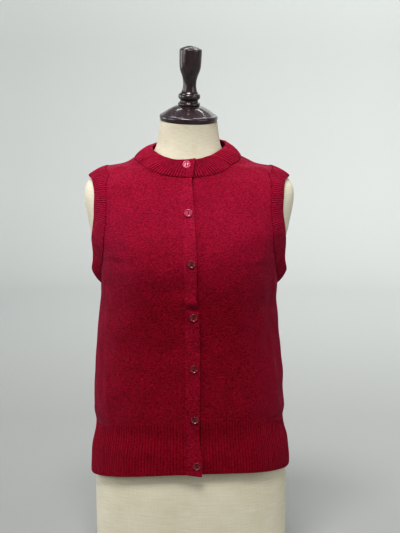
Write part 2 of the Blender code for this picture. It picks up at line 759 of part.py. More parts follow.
def make_neckband(halves, finish, collection):
    # One strip round the neck, its upper end lapped over its lower end at the front.
    rail = neck_seam(halves)
    low = cloth(rail[:, 0], rail[:, 1])[0]
    lengths = lengths_along(low)
    low = resample(low, lengths, 2 * NECK_RIBS)
    turns = resample(rail[:, :1], lengths, 2 * NECK_RIBS)[:, 0]
    surface, normal = strip_surface(low, neck_edge(turns), NECK_CROWN)
    late = np.clip((turns - turns[-1]) / NECK_LAP["fade"] + 1, 0, 1)
    lift = NECK_LIFT * late * late * (3 - 2 * late)
    surface = surface + normal * lift[None, :, None]
    return wall("neckband", *ribbed(surface, normal, ROUND_STEP), finish, collection)


def armhole_rails(side, halves):
    # Seam rail: the panels' own edge points, up the front and down the back. Edge rail: the
    # table's line, in the same order.
    start = PANEL_ROWS["side"]
    front, rear = halves[side, 1][start:, -1], halves[side, -1][start:, -1]
    tip = np.array([[side * pi / 2, ARM_SEAM["height"][-1]]])
    foot = np.array([[side * pi / 2, ARM_SEAM["height"][0]]])
    seam = np.concatenate([foot, front[1:-1], tip, rear[-2:0:-1], foot])
    low = cloth(seam[:, 0], seam[:, 1])[0]
    line = through(ARM_EDGE)
    halves_of_edge = []
    for face, share in ((1, 1.0), (-1, BACK_SHARE)):
        turn = side * (pi / 2 - face * share * np.radians(line["forward"]))
        halves_of_edge.append(cloth(turn, line["height"], np.clip(line["out"], 0, None))[0])
    high = np.concatenate([halves_of_edge[0], halves_of_edge[1][-2::-1]])
    rails = []
    for points, top in ((low, len(front) - 1), (high, len(line["height"]) - 1)):
        up, down = points[: top + 1], points[top:]
        up = resample(up, lengths_along(up), ARMHOLE_RIBS)
        down = resample(down, lengths_along(down), ARMHOLE_RIBS)
        rails.append(np.concatenate([up[:-1], down[:-1]]))
    return rails


def make_armhole_band(name, side, halves, finish, collection):
    low, high = armhole_rails(side, halves)
    if side > 0:
        low, high = low[::-1], high[::-1]
    surface, normal = strip_surface(low, high, ARMHOLE_CROWN, ring=True)
    return wall(name, *ribbed(surface, normal, ROUND_STEP), finish, collection, ring=True)


def turned(name, profile, steps, finish, collection):
    # A turned piece: its profile, from the top of the axis down the outer side, and a Screw.
    mesh = bpy.data.meshes.new(name)
    points = [(radius, 0.0, height) for radius, height in profile]
    mesh.from_pydata(points, [(i, i + 1) for i in range(len(points) - 1)], [])
    mesh.materials.append(finish)
    obj = bpy.data.objects.new(name, mesh)
    collection.objects.link(obj)
    screw = obj.modifiers.new("turned", "SCREW")
    screw.steps = screw.render_steps = steps
    screw.use_merge_vertices = True
    screw.merge_threshold = 0.0001
    screw.use_smooth_shade = True
    return obj


def seat_height(carrier, place, spin):
    # How far out from place the highest point of the carrier lies under a button's back.
    mesh = carrier.data
    tree = BVHTree.FromPolygons(
        [vertex.co for vertex in mesh.vertices], [face.vertices for face in mesh.polygons]
    )
    facing = spin @ Vector((0, 0, 1))
    highest = 0.0
    for radius in np.linspace(0, BUTTON_BACK, 6):
        for angle in np.linspace(0, 2 * pi, 48, endpoint=False):
            beside = spin @ Vector((radius * cos(angle), radius * sin(angle), 0))
            distance = tree.ray_cast(place + beside + facing * FEELER, -facing)[3]
            if distance is not None:
                highest = max(highest, FEELER - distance)
    return highest


def make_buttons(neckband, strip, finish, collection):
    for number, (height, x) in enumerate(BUTTON_PLACES, start=1):
        obj = turned(f"button_{number}", BUTTON_PROFILE, BUTTON_STEPS, finish, collection)
        turn = float(CLOTH.turn_of(x, height))
        place, facing = neckband_front(turn, height) if number == 1 else cloth(turn, height)
        place, facing = Vector(place), Vector(facing)
        spin = facing.to_track_quat("Z", "Y").to_matrix().to_4x4()
        out = seat_height(neckband if number == 1 else strip, place, spin) + SEAM_GAP
        obj.matrix_world = Matrix.Translation(place + facing * out) @ spin


def neckband_front(turn, height):
    # A point of the neckband's plain surface near the middle of the front, and its normal.
    low = cloth(turn, neck_line(turn, "seam"))[0]
    high = neck_edge(turn)
    share = (height - low[2]) / (high[2] - low[2])
    sideways = neck_edge(turn + NORMAL_STEP) - neck_edge(turn - NORMAL_STEP)
    normal = unit(np.cross(sideways, high - low))
    return low + (high - low) * share + normal * NECK_CROWN, normal


def make_form(finish, collection):
    heights = np.array(FORM_RINGS)[:, None]
    turns = np.linspace(0, 2 * pi, FORM_AROUND, endpoint=False)[None, :]
    points = FORM.point(turns, heights)
    rise = np.clip((heights[..., None] - LEAN_FROM) / (NECK_TOP - LEAN_FROM), 0, 1)
    centre = cap_centre()
    lean = (points[..., 1:2] - centre.y) * tan(CAP_LEAN)
    turn = (points[..., 0:1] - centre.x) * -tan(CAP_TURN)
    points[..., 2:] += rise * rise * (lean + turn)
    ids = np.arange(points.shape[0] * points.shape[1]).reshape(points.shape[:2])
    ids = np.concatenate([ids, ids[:, :1]], axis=1)
    faces = []
    for i in range(len(ids) - 1):
        for j in range(FORM_AROUND):
            faces.append((ids[i, j], ids[i, j + 1], ids[i + 1, j + 1], ids[i + 1, j]))
    faces += [tuple(ids[0, :-1]), tuple(ids[-1, :-1])]
    faces = [tuple(int(k) for k in face) for face in faces]
    return add_object("torso_form", points.reshape(-1, 3), faces, finish, collection)


def cap_centre():
    front, back = FORM.at("front", NECK_TOP), FORM.at("back", NECK_TOP)
    return Vector((float(FORM.at("middle", NECK_TOP)), float(back - front) / 2, NECK_TOP))


def make_cap(finish, collection):
    cap = turned("neck_cap", CAP_PROFILE, CAP_STEPS, finish, collection)
    lean = Matrix.Rotation(CAP_LEAN, 4, "X") @ Matrix.Rotation(CAP_TURN, 4, "Y")
    seat = lean @ Vector((0, 0, CAP_GAP))
    cap.matrix_world = Matrix.Translation(cap_centre() + seat) @ lean
    return cap


def main():
    for obj in list(bpy.data.objects):
        bpy.data.objects.remove(obj, do_unlink=True)
    collection = bpy.data.collections.new("Sweater vest on dress form")
    bpy.context.scene.collection.children.link(collection)
    jersey = material("red brushed jersey", RED, 0.85)
    rib = material("red rib knit", RED, 0.85)
    strip = material("red button strip", RED, 0.85)
    halves = {(side, face): half_panel(side, face) for side in (-1, 1) for face in (-1, 1)}
    make_form(material("cream dress form", CREAM, 0.55), collection)
    make_cap(material("dark turned wood", MAHOGANY, 0.2), collection)
    make_panel("front_right", [halves[-1, 1]], jersey, collection, lap=True)
    make_panel("front_left", [halves[1, 1]], jersey, collection)
    make_panel("back", [halves[-1, -1], halves[1, -1]], jersey, collection)
    make_hems(rib, collection)
    over = make_strips(halves, strip, collection)
    neckband = make_neckband(halves, rib, collection)
    make_armhole_band("armhole_band_right", -1, halves, rib, collection)
    make_armhole_band("armhole_band_left", 1, halves, rib, collection)
    make_buttons(neckband, over, material("burgundy button", BURGUNDY, 0.2), collection)


main()
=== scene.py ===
# A button-front sweater vest on a limbless dress form: its looks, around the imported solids.
# Metres, +Z up. The front faces -Y and the wearer's right is at -X. A turn is the angle round
# the body from the middle of the front, positive towards +X; a height is a plain z.

from math import cos, pi, radians, sin, tan

import bmesh
import bpy
import numpy as np
from mathutils import Matrix, Vector


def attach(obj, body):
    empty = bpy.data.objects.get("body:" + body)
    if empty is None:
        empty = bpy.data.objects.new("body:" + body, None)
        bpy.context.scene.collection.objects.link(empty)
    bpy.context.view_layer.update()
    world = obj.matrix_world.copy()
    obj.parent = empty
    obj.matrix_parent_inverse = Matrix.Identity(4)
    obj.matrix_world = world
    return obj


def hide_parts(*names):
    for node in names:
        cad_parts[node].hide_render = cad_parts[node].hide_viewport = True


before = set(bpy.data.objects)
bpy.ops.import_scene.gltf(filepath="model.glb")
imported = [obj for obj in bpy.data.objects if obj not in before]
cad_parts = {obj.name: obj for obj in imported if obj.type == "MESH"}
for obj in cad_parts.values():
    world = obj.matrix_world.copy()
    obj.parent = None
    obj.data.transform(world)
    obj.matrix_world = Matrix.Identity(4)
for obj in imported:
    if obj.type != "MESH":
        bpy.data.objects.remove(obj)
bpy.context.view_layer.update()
print("frame: loaded", len(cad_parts), "solids")


# Numbers and lines

# How many points a line is drawn with before it is divided evenly
drawn = {"section": 2000, "line": 400, "seam": 200, "neckSeam": 2400}


def spline(x, xs, ys):
    # Natural cubic spline through the points (xs, ys), held level past its two ends.
    x = np.clip(x, xs[0], xs[-1])
    h = np.diff(xs)
    slope = np.diff(ys) / h
    system = np.eye(len(xs))
    for k in range(1, len(xs) - 1):
        system[k, k - 1 : k + 2] = h[k - 1], 2 * (h[k - 1] + h[k]), h[k]
    bend = np.linalg.solve(system, np.concatenate(([0.0], 6 * np.diff(slope), [0.0])))
    i = np.clip(np.searchsorted(xs, x, side="right") - 1, 0, len(xs) - 2)
    before, after = x - xs[i], xs[i + 1] - x
    return (
        (bend[i] * after**3 + bend[i + 1] * before**3) / (6 * h[i])
        + (ys[i] / h[i] - bend[i] * h[i] / 6) * after
        + (ys[i + 1] / h[i] - bend[i + 1] * h[i] / 6) * before
    )


def table(columns, rows):
    return dict(zip(columns, np.array(rows, float).T))


def stacked(*parts):
    # Numbers for each point of a grid, joined into that grid's places or chart.
    return np.stack(np.broadcast_arrays(*parts), axis=-1)


def unit(vectors):
    return vectors / np.linalg.norm(vectors, axis=-1, keepdims=True)


def wrapped(turn):
    return (np.asarray(turn) + pi) % (2 * pi) - pi


def eased(x):
    # 0 up to x = 0, 1 from x = 1 on, and x * x * (3 - 2 x) between them.
    x = np.clip(x, 0, 1)
    return x * x * (3 - 2 * x)


def stepLengths(points, axis=0):
    # Length from the first point to each one, along one axis of a grid.
    steps = np.linalg.norm(np.diff(points, axis=axis), axis=-1)
    start = np.zeros_like(np.take(steps, [0], axis=axis))
    return np.cumsum(np.concatenate([start, steps], axis=axis), axis=axis)


def fromTop(lengths):
    # What is left of each length up to a grid's last row.
    return lengths[-1:] - lengths


def fromEnd(lengths):
    # What is left of each length up to a grid's last column.
    return lengths[:, -1:] - lengths


def atShares(values, lengths, shares):
    # Rows of values at these shares of a line's length.
    marks = np.asarray(shares) * lengths[-1]
    return np.stack([np.interp(marks, lengths, column) for column in values.T], axis=1)


def edged(count, tight, first=True, last=True):
    # Shares from 0 to 1: even, but closer near the ends, where a rounded edge needs them.
    ends = tight * (1 - np.cos(np.linspace(0, pi / 2, 5)))[:-1]
    low = ends if first else np.array([0.0])
    high = 1 - ends[::-1] if last else np.array([1.0])
    inside = np.linspace(tight * first, 1 - tight * last, count + 1 - 4 * first - 4 * last)
    return np.concatenate([low, inside[1 - first : len(inside) - 1 + last], high])


# The body and the cloth: stacked horizontal sections

sectionColumns = ("height", "side", "front", "back", "middle", "square", "bust")
bust = {"turn": radians(31), "width": radians(17), "bridged": 0.35}


class Sections:
    # The outline of a section is |x / side|^n + |y / depth|^n = 1, with n its square and depth
    # its front or back; two rounds of the bust are added to the front. Between the rows each
    # size is a spline along the path that the side and front edges draw.
    def __init__(self, rows):
        self.rows = table(sectionColumns, rows)
        corner = np.stack([self.rows["side"] + self.rows["front"], self.rows["height"]], axis=1)
        self.stations = stepLengths(corner)
        self.fine = np.linspace(0, self.stations[-1], drawn["section"])
        self.heights = spline(self.fine, self.stations, self.rows["height"])

    def at(self, name, height):
        station = np.interp(height, self.heights, self.fine)
        return spline(station, self.stations, self.rows[name])

    def point(self, turn, height):
        n = self.at("square", height)
        east, south = np.sin(turn), np.cos(turn)
        reach = (np.abs(east) ** n + np.abs(south) ** n) ** (-1 / n)
        beside = np.abs(wrapped(turn)) - bust["turn"]
        swell = self.at("bust", height) * np.exp(-((beside / bust["width"]) ** 2))
        depth = np.where(south > 0, self.at("front", height) + swell, self.at("back", height))
        x = self.at("middle", height) + self.at("side", height) * reach * east
        return stacked(x, -depth * reach * south, height)

    def turnOf(self, x, height):
        # The turn at which the front of a section has this x.
        n = self.at("square", height)
        share = (x - self.at("middle", height)) / self.at("side", height)
        return np.arctan2(share, (1 - np.abs(share) ** n) ** (1 / n))


form = {
    "rows": (
        (0.000, 0.1795, 0.106, 0.117, 0.000, 2.25, 0.000),
        (0.040, 0.1803, 0.108, 0.120, 0.000, 2.25, 0.000),
        (0.090, 0.1808, 0.111, 0.124, 0.000, 2.25, 0.000),
        (0.140, 0.1808, 0.113, 0.127, 0.000, 2.25, 0.000),
        (0.180, 0.1785, 0.113, 0.125, 0.000, 2.20, 0.000),
        (0.220, 0.1715, 0.111, 0.120, -0.001, 2.20, 0.000),
        (0.260, 0.1600, 0.108, 0.111, -0.001, 2.15, 0.000),
        (0.300, 0.1470, 0.103, 0.100, -0.002, 2.15, 0.000),
        (0.340, 0.1360, 0.097, 0.089, -0.002, 2.10, 0.000),
        (0.385, 0.1305, 0.092, 0.081, -0.002, 2.10, 0.000),
        (0.430, 0.1345, 0.094, 0.081, -0.003, 2.15, 0.000),
        (0.480, 0.1450, 0.103, 0.087, -0.003, 2.25, 0.002),
        (0.530, 0.1570, 0.114, 0.094, -0.003, 2.35, 0.009),
        (0.565, 0.1640, 0.118, 0.098, -0.003, 2.45, 0.012),
        (0.610, 0.1785, 0.111, 0.101, -0.003, 2.55, 0.008),
        (0.650, 0.1875, 0.101, 0.100, -0.003, 2.65, 0.003),
        (0.690, 0.1930, 0.090, 0.095, -0.003, 2.80, 0.000),
        (0.709, 0.1895, 0.084, 0.090, -0.003, 2.60, 0.000),
        (0.721, 0.1800, 0.079, 0.087, -0.003, 2.25, 0.000),
        (0.730, 0.1695, 0.074, 0.084, -0.003, 2.05, 0.000),
        (0.737, 0.1500, 0.070, 0.081, -0.003, 2.00, 0.000),
        (0.745, 0.1130, 0.064, 0.075, -0.003, 2.00, 0.000),
        (0.759, 0.0740, 0.057, 0.066, -0.004, 2.00, 0.000),
        (0.774, 0.0615, 0.055, 0.060, -0.004, 2.00, 0.000),
        (0.796, 0.0560, 0.055, 0.053, -0.004, 2.00, 0.000),
        (0.8245, 0.0525, 0.0575, 0.0475, -0.004, 2.00, 0.000),
    ),
    "around": 160,
    "up": 150,
    "neckTop": 0.8245,
    "leanFrom": 0.780,
    "capLean": radians(8.0),
    "capTurn": radians(2.0),
    "footRows": (0.0008, 0.0024),
    "footShare": 0.9985,  # the flat base's outline, as a share of the lowest section's
    "chartRadius": 0.15,
}
vest = {
    "hangingRows": (
        (0.150, 0.1870, 0.127, 0.1345, -0.002, 2.25, 0.000),
        (0.180, 0.1868, 0.1255, 0.1330, -0.002, 2.25, 0.000),
        (0.205, 0.1857, 0.1240, 0.1315, -0.001, 2.25, 0.000),
        (0.235, 0.1812, 0.1225, 0.1275, -0.001, 2.25, 0.000),
        (0.262, 0.1765, 0.1195, 0.1235, -0.002, 2.25, 0.000),
        (0.282, 0.1768, 0.1205, 0.1220, -0.003, 2.25, 0.000),
        (0.315, 0.1778, 0.1205, 0.1175, -0.004, 2.30, 0.000),
        (0.357, 0.1755, 0.1185, 0.1120, -0.004, 2.30, 0.000),
        (0.414, 0.1695, 0.1165, 0.1060, -0.005, 2.35, 0.001),
        (0.460, 0.1655, 0.1180, 0.1040, -0.005, 2.40, 0.003),
        (0.500, 0.1635, 0.1205, 0.1030, -0.004, 2.40, 0.006),
        (0.533, 0.1640, 0.1240, 0.1030, -0.003, 2.45, 0.007),
    ),
    "neckRows": (
        (0.7535, 0.1085, 0.0665, 0.0778, -0.003, 2.00, 0.000),
        (0.762, 0.0940, 0.0640, 0.0745, -0.004, 2.00, 0.000),
        (0.775, 0.0790, 0.0610, 0.0690, -0.004, 2.00, 0.000),
        (0.800, 0.0700, 0.0590, 0.0600, -0.004, 2.00, 0.000),
    ),
    "overForm": 0.0042,
    "upForm": 0.0037,
    "wall": 0.0018,
    "waistRadius": 0.165,
    "shoulderRadius": 0.045,
}


def vestRows():
    # Between the bust and the neck the cloth lies on the form: its rows, moved out and up.
    lying = []
    for height, side, front, back, middle, square, rise in form["rows"]:
        if vest["hangingRows"][-1][0] < height < vest["neckRows"][0][0] - vest["upForm"]:
            out = vest["overForm"]
            depths = (front + out + bust["bridged"] * rise, back + out)
            rise = rise * (1 - bust["bridged"])
            lying.append((height + vest["upForm"], side + out, *depths, middle, square, rise))
    return vest["hangingRows"] + tuple(lying) + vest["neckRows"]


formSections = Sections(form["rows"])
vestSections = Sections(vestRows())

# Folds: soft ridges (rise above 0) and troughs in the outer face. turn and height are the
# middle, length and width the reach along and across, lean tips the upper end towards +X.
foldColumns = ("turn", "height", "length", "width", "lean", "rise")
largeFolds = (
    (-78, 0.440, 0.080, 0.016, 4, 0.0030),
    (-62, 0.400, 0.090, 0.014, -6, -0.0020),
    (76, 0.420, 0.090, 0.016, -4, 0.0030),
    (58, 0.460, 0.080, 0.014, 8, -0.0022),
    (-70, 0.286, 0.010, 0.050, 0, 0.0016),
    (72, 0.292, 0.010, 0.050, 0, 0.0018),
    (-2, 0.512, 0.009, 0.012, 0, 0.0014),
    (-104, 0.470, 0.090, 0.018, -5, 0.0030),
    (106, 0.450, 0.090, 0.018, 5, 0.0028),
    (150, 0.420, 0.100, 0.020, 10, -0.0025),
    (-152, 0.440, 0.100, 0.020, -8, -0.0025),
    (180, 0.395, 0.060, 0.045, 0, 0.0025),
)
smallCreases = (
    (-20, 0.507, 0.028, 0.0040, -35, -0.0011),  # from the pushed-up strip towards the bust
    (-25, 0.513, 0.030, 0.0060, -38, 0.0010),
    (22, 0.375, 0.055, 0.0060, 11, 0.0013),
    (26, 0.370, 0.050, 0.0050, 12, -0.0006),
    (-55, 0.340, 0.070, 0.0090, -7, 0.0015),
    (61, 0.386, 0.065, 0.0090, -6, 0.0015),
    (-45, 0.584, 0.007, 0.0340, 0, 0.0013),  # the edge under which the bust falls into shade
    (-44, 0.571, 0.007, 0.0360, 0, -0.0008),
    (42, 0.578, 0.007, 0.0300, 0, 0.0010),
    (41, 0.565, 0.008, 0.0320, 0, -0.0006),
    (-38, 0.470, 0.010, 0.0300, 18, 0.0007),
    (-30, 0.448, 0.008, 0.0240, -12, -0.0006),
    (34, 0.620, 0.006, 0.0200, -24, 0.0007),
    (30, 0.604, 0.006, 0.0240, -20, 0.0006),
    (-66, 0.530, 0.030, 0.0060, 10, 0.0012),
    (66, 0.535, 0.030, 0.0060, -12, 0.0012),
    (-14, 0.330, 0.012, 0.0220, 10, 0.0006),
    (-26, 0.300, 0.010, 0.0260, -6, 0.0006),
    (14, 0.245, 0.030, 0.0070, 4, 0.0007),
    (-12, 0.232, 0.024, 0.0060, -8, -0.0006),
    (118, 0.520, 0.035, 0.0070, -22, 0.0013),
    (-120, 0.512, 0.040, 0.0070, 20, 0.0012),
    (160, 0.560, 0.010, 0.0400, 8, 0.0009),
    (-164, 0.575, 0.010, 0.0360, -10, 0.0008),
    (172, 0.440, 0.010, 0.0500, 5, -0.0012),
    (-170, 0.350, 0.012, 0.0500, -4, 0.0012),
    (132, 0.330, 0.060, 0.0080, 6, 0.0013),
    (-136, 0.345, 0.060, 0.0080, -5, 0.0012),
)
folds = [dict(zip(foldColumns, row)) for row in largeFolds + smallCreases]
ripples = {"count": 14, "seed": 7, "shortest": 0.035, "longest": 0.110, "rise": 0.00022}


def rippleWaves():
    # Slow sine waves in many directions, for cloth that is nowhere quite even.
    chance = np.random.default_rng(ripples["seed"])
    length = chance.uniform(ripples["shortest"], ripples["longest"], ripples["count"])
    way = chance.uniform(0, pi, ripples["count"])
    start = chance.uniform(0, 2 * pi, ripples["count"])
    return np.stack([np.cos(way) / length, np.sin(way) / length, start], axis=1)


waves = rippleWaves()


def foldRise(turn, height):
    # Each fold is a bell across its width and along its length; the ripples are added.
    rise = 0.0
    for fold in folds:
        across = wrapped(turn - radians(fold["turn"])) * vest["waistRadius"]
        along = height - fold["height"]
        lean = radians(fold["lean"])
        side = across * cos(lean) - along * sin(lean)
        run = across * sin(lean) + along * cos(lean)
        rise = rise + fold["rise"] * np.exp(-((side / fold["width"]) ** 2) - (run / fold["length"]) ** 2)
    # the number of waves round the body is whole, so that the ripples meet at the back
    for sideways, upwards, start in waves:
        whole = np.round(sideways * 2 * pi * vest["waistRadius"])
        rise = rise + ripples["rise"] * np.sin(whole * turn + 2 * pi * upwards * height + start)
    return rise


def cloth(turn, height, out=0.0):
    # A point of the jersey's outer face, moved out along its normal, and that normal.
    turn, height = np.broadcast_arrays(np.asarray(turn, float), np.asarray(height, float))
    step = 1e-4
    sideways = vestSections.point(turn + step, height) - vestSections.point(turn - step, height)
    upwards = vestSections.point(turn, height + step) - vestSections.point(turn, height - step)
    normal = unit(np.cross(sideways, upwards))
    rise = foldRise(turn, height) + out
    return vestSections.point(turn, height) + normal * rise[..., None], normal


# Lines on the cloth

hem = {
    "bottom": 0.1730,
    "top": 0.268,
    "frontRise": 0.0183,
    "tilt": {"bottom": 0.0065, "top": 0.005},
    "leftHigher": {"bottom": 0.0, "top": 0.006},  # by how much the left front's ribs run on
    "corner": radians(5),  # about where the button opening meets the hem
}
neck = {
    "columns": ("turn", "seam", "edge"),
    "rows": (
        (0, 0.7240, 0.7550),
        (18, 0.7326, 0.7565),
        (25, 0.7388, 0.7578),
        (31, 0.7424, 0.7593),
        (38, 0.7451, 0.7615),
        (48, 0.7495, 0.7654),
        (58, 0.7535, 0.7692),
        (72, 0.7580, 0.7740),
        (90, 0.7618, 0.7785),
        (125, 0.7668, 0.7860),
        (180, 0.7700, 0.7910),
    ),
    "tilt": {"seam": 0.0012, "edge": 0.0035},
    "edge": {"side": 0.0670, "front": 0.0695, "back": 0.0700, "middle": -0.0036},
    "lap": {"over": radians(2.5), "under": radians(-8), "fade": radians(26)},
    "flare": {"by": radians(8.5), "over": radians(13)},
    "crown": 0.0035,
    "half": 0.00170,
    "proud": 0.00150,  # its outer face over the jersey's, where they are sewn
    "ribs": 112,
    "depth": 1.35,  # of its ribs, as a share of ribShape's
    "fade": 0.0006,  # the ribs start over this length from the seam
    "rim": {"depth": 0.6, "over": 0.0022},  # and are shallower near the free edge
    "tight": 0.05,
}
armhole = {
    "seamColumns": ("height", "forward"),
    "seamRows": (
        (0.5255, 0.0),
        (0.5285, 8.0),
        (0.5390, 15.5),
        (0.5610, 22.5),
        (0.5850, 31.0),
        (0.6100, 38.0),
        (0.6400, 43.0),
        (0.6700, 46.0),
        (0.7000, 46.5),
        (0.7160, 44.0),
        (0.7268, 39.0),
        (0.7338, 31.0),
        (0.7393, 17.0),
        (0.7418, 0.0),
    ),
    "edgeColumns": ("height", "forward", "out"),
    "edgeRows": (
        (0.5510, 0.0, 0.0145),
        (0.5545, 7.0, 0.0145),
        (0.5640, 12.5, 0.0128),
        (0.5775, 15.5, 0.0085),
        (0.5935, 17.5, 0.0042),
        (0.6120, 22.0, 0.0010),
        (0.6400, 30.5, 0.0000),
        (0.6700, 36.5, 0.0000),
        (0.6900, 38.0, 0.0000),
        (0.7040, 36.5, 0.0000),
        (0.7150, 31.5, 0.0000),
        (0.7218, 20.0, 0.0000),
        (0.7250, 0.0, 0.0000),
    ),
    "backShare": 0.94,
    "flankRadius": 0.12,
    "crown": 0.0020,
    "half": 0.00140,
    "proud": 0.00100,
    "ribs": 150,
    "depth": 0.80,
    "fade": 0.0008,
    "rim": {"depth": 1.0, "over": 0.0022},
    "tight": 0.07,
}
closing = {
    "columns": ("height", "overSeam", "overEdge", "underSeam"),
    "rows": (
        (0.180, -0.0060, 0.0200, 0.0185),
        (0.215, -0.0066, 0.0215, 0.0179),
        (0.262, -0.0075, 0.0150, 0.0170),
        (0.290, -0.0080, 0.0168, 0.0165),
        (0.400, -0.0085, 0.0170, 0.0160),
        (0.490, -0.0092, 0.0160, 0.0140),
        (0.515, -0.0095, 0.0110, 0.0130),
        (0.560, -0.0100, 0.0125, 0.0120),
        (0.600, -0.0112, 0.0112, 0.0105),
        (0.660, -0.0150, 0.0070, 0.0070),
        (0.724, -0.0190, 0.0027, 0.0030),
        (0.740, -0.0200, 0.0020, 0.0020),
    ),
    "seam": {-1: "overSeam", 1: "underSeam"},  # by side: -1 is the wearer's right
    "underWidth": 0.0222,
    "layer": 0.0031,  # the upper strip's outer face over the lower one's
    "layerFade": 0.020,
    "drop": {"over": 0.004, "under": -0.001},
}
closingTable = table(closing["columns"], closing["rows"])
neckTable = table(neck["columns"], neck["rows"])
seamGap = 0.0003


def halfGap(radius):
    # Half a seam's gap, as a turn round a body of this radius.
    return seamGap / 2 / radius


def closingX(name, height):
    return np.interp(height, closingTable["height"], closingTable[name])


def hemLine(turn, which):
    front = np.clip(np.cos(turn), 0, None) ** 2
    rise = front * (hem["frontRise"] + hem["leftHigher"][which] * (np.sin(turn) > 0))
    return hem[which] + rise + hem["tilt"][which] * np.sin(turn)


def neckLine(turn, which):
    height = spline(np.abs(wrapped(turn)), np.radians(neckTable["turn"]), neckTable[which])
    return height + neck["tilt"][which] * np.sin(turn)


def neckEdge(turn):
    # The neckband's free edge: an ellipse round the neck, clear of it.
    edge = neck["edge"]
    depth = np.where(np.cos(turn) > 0, edge["front"], edge["back"])
    x = edge["middle"] + edge["side"] * np.sin(turn)
    return stacked(x, -depth * np.cos(turn), neckLine(turn, "edge"))


def armholeLine(columns, rows, side, face):
    # A smooth line through an armhole table, underarm to shoulder: turns, and the table's
    # splines. side is 1 at the wearer's left; face is 1 in front and -1 behind.
    rows = table(columns, rows)
    steps = np.stack([rows["height"], np.radians(rows["forward"]) * armhole["flankRadius"]], axis=1)
    marks = stepLengths(steps)
    fine = np.linspace(0, marks[-1], drawn["line"])
    line = {name: spline(fine, marks, values) for name, values in rows.items()}
    share = 1.0 if face > 0 else armhole["backShare"]
    return side * (pi / 2 - face * share * np.radians(line["forward"])), line


def onCloth(path):
    return cloth(path[:, 0], path[:, 1])[0]


# Meshes


def addPiece(name, grids, finish, smoothBelow=60):
    # Each grid is (points, chart): rows and columns of places and of their flat coordinates.
    # They become one mesh, welded where their points meet.
    quads, points, charts, start = [], [], [], 0
    for place, chart in grids:
        rows, columns = place.shape[:2]
        corner = np.arange(rows * columns).reshape(rows, columns) + start
        around = (corner[:-1, :-1], corner[:-1, 1:], corner[1:, 1:], corner[1:, :-1])
        quads.append(np.stack(around, axis=-1).reshape(-1, 4))
        points.append(place.reshape(-1, 3))
        charts.append(chart.reshape(-1, 2))
        start += rows * columns
    quads, points, charts = map(np.concatenate, (quads, points, charts))
    mesh = bpy.data.meshes.new(name)
    mesh.vertices.add(len(points))
    mesh.vertices.foreach_set("co", points.ravel())
    mesh.loops.add(quads.size)
    mesh.loops.foreach_set("vertex_index", quads.ravel())
    mesh.polygons.add(len(quads))
    mesh.polygons.foreach_set("loop_start", np.arange(0, quads.size, 4))
    mesh.update(calc_edges=True)
    layer = mesh.uv_layers.new(name="chart")
    layer.data.foreach_set("uv", charts[quads.ravel()].ravel())
    work = bmesh.new()
    work.from_mesh(mesh)
    bmesh.ops.remove_doubles(work, verts=work.verts, dist=2e-6)
    bmesh.ops.dissolve_degenerate(work, edges=work.edges, dist=1e-7)
    bmesh.ops.recalc_face_normals(work, faces=work.faces)
    work.to_mesh(mesh)
    work.free()
    mesh.shade_smooth()
    mesh.set_sharp_from_angle(angle=radians(smoothBelow))
    mesh.materials.append(finish)
    piece = bpy.data.objects.new(name, mesh)
    bpy.context.scene.collection.objects.link(piece)
    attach(piece, "root")
    return piece


def lengthChart(lengths, tube):
    # A chart for a thin tube of yarn, in which only the length along it counts.
    return np.broadcast_to(np.concatenate([lengths, lengths * 0], axis=-1), tube.shape[:2] + (2,))


def roundOff(distance, radius):
    # Share of the full thickness at a distance from a rounded edge: a quarter circle.
    inside = np.clip(distance / radius, 0, 1)
    return np.sqrt(1 - (1 - inside) ** 2)


def shell(place, chart, centre, half, rise=0.0):
    # A closed cloth wall over one grid: the outer face at centre + half + rise, the inner one at
    # centre - half. half is 0 along the borders, so the two faces meet there.
    return [(place(centre + half + rise), chart), (place(centre - half), chart)]


ribShape = {
    "crest": 0.00050,
    "furrow": 0.00045,
    "power": 2.2,
    "samples": 8,
    "wander": {"by": 0.10, "rate": 70, "bend": 2.0, "turns": 17},
    "uneven": {"by": 0.12, "rate": 45, "slant": 9, "turns": 41},
}


def ribRise(share, ribs, along, depth=1.0):
    # Rounded ridges with narrow furrows between them. Each rib drifts a little sideways on its
    # way and stands a little higher or lower than its neighbours, by waves that have whole
    # numbers of turns over the band, so that a closed band meets itself.
    wander, uneven, furrow = ribShape["wander"], ribShape["uneven"], ribShape["furrow"]
    sway = wander["bend"] * np.sin(2 * pi * wander["turns"] * share)
    drift = wander["by"] * np.sin(along * wander["rate"] + sway)
    beside = np.abs(2 * ((share * ribs + drift) % 1.0) - 1)
    ridge = 1 - beside ** ribShape["power"]
    slant = 2 * pi * uneven["slant"] * share
    high = uneven["by"] * np.sin(2 * pi * uneven["turns"] * share)
    high = 1 + high * np.sin(along * uneven["rate"] + slant)
    return depth * (ridge * high * (ribShape["crest"] + furrow) - furrow)


# Jersey panels

panel = {
    "columns": {1: 84, -1: 72},
    "rows": {"side": 70, "armhole": 110, "front": 62, "back": 68},
    "underarmRise": 0.02,
    "edgeRound": 0.0009,
    "closingRound": 0.0005,
    "squareRound": 0.0003,
    "tight": 0.004,
    "rowTight": 0.01,
}


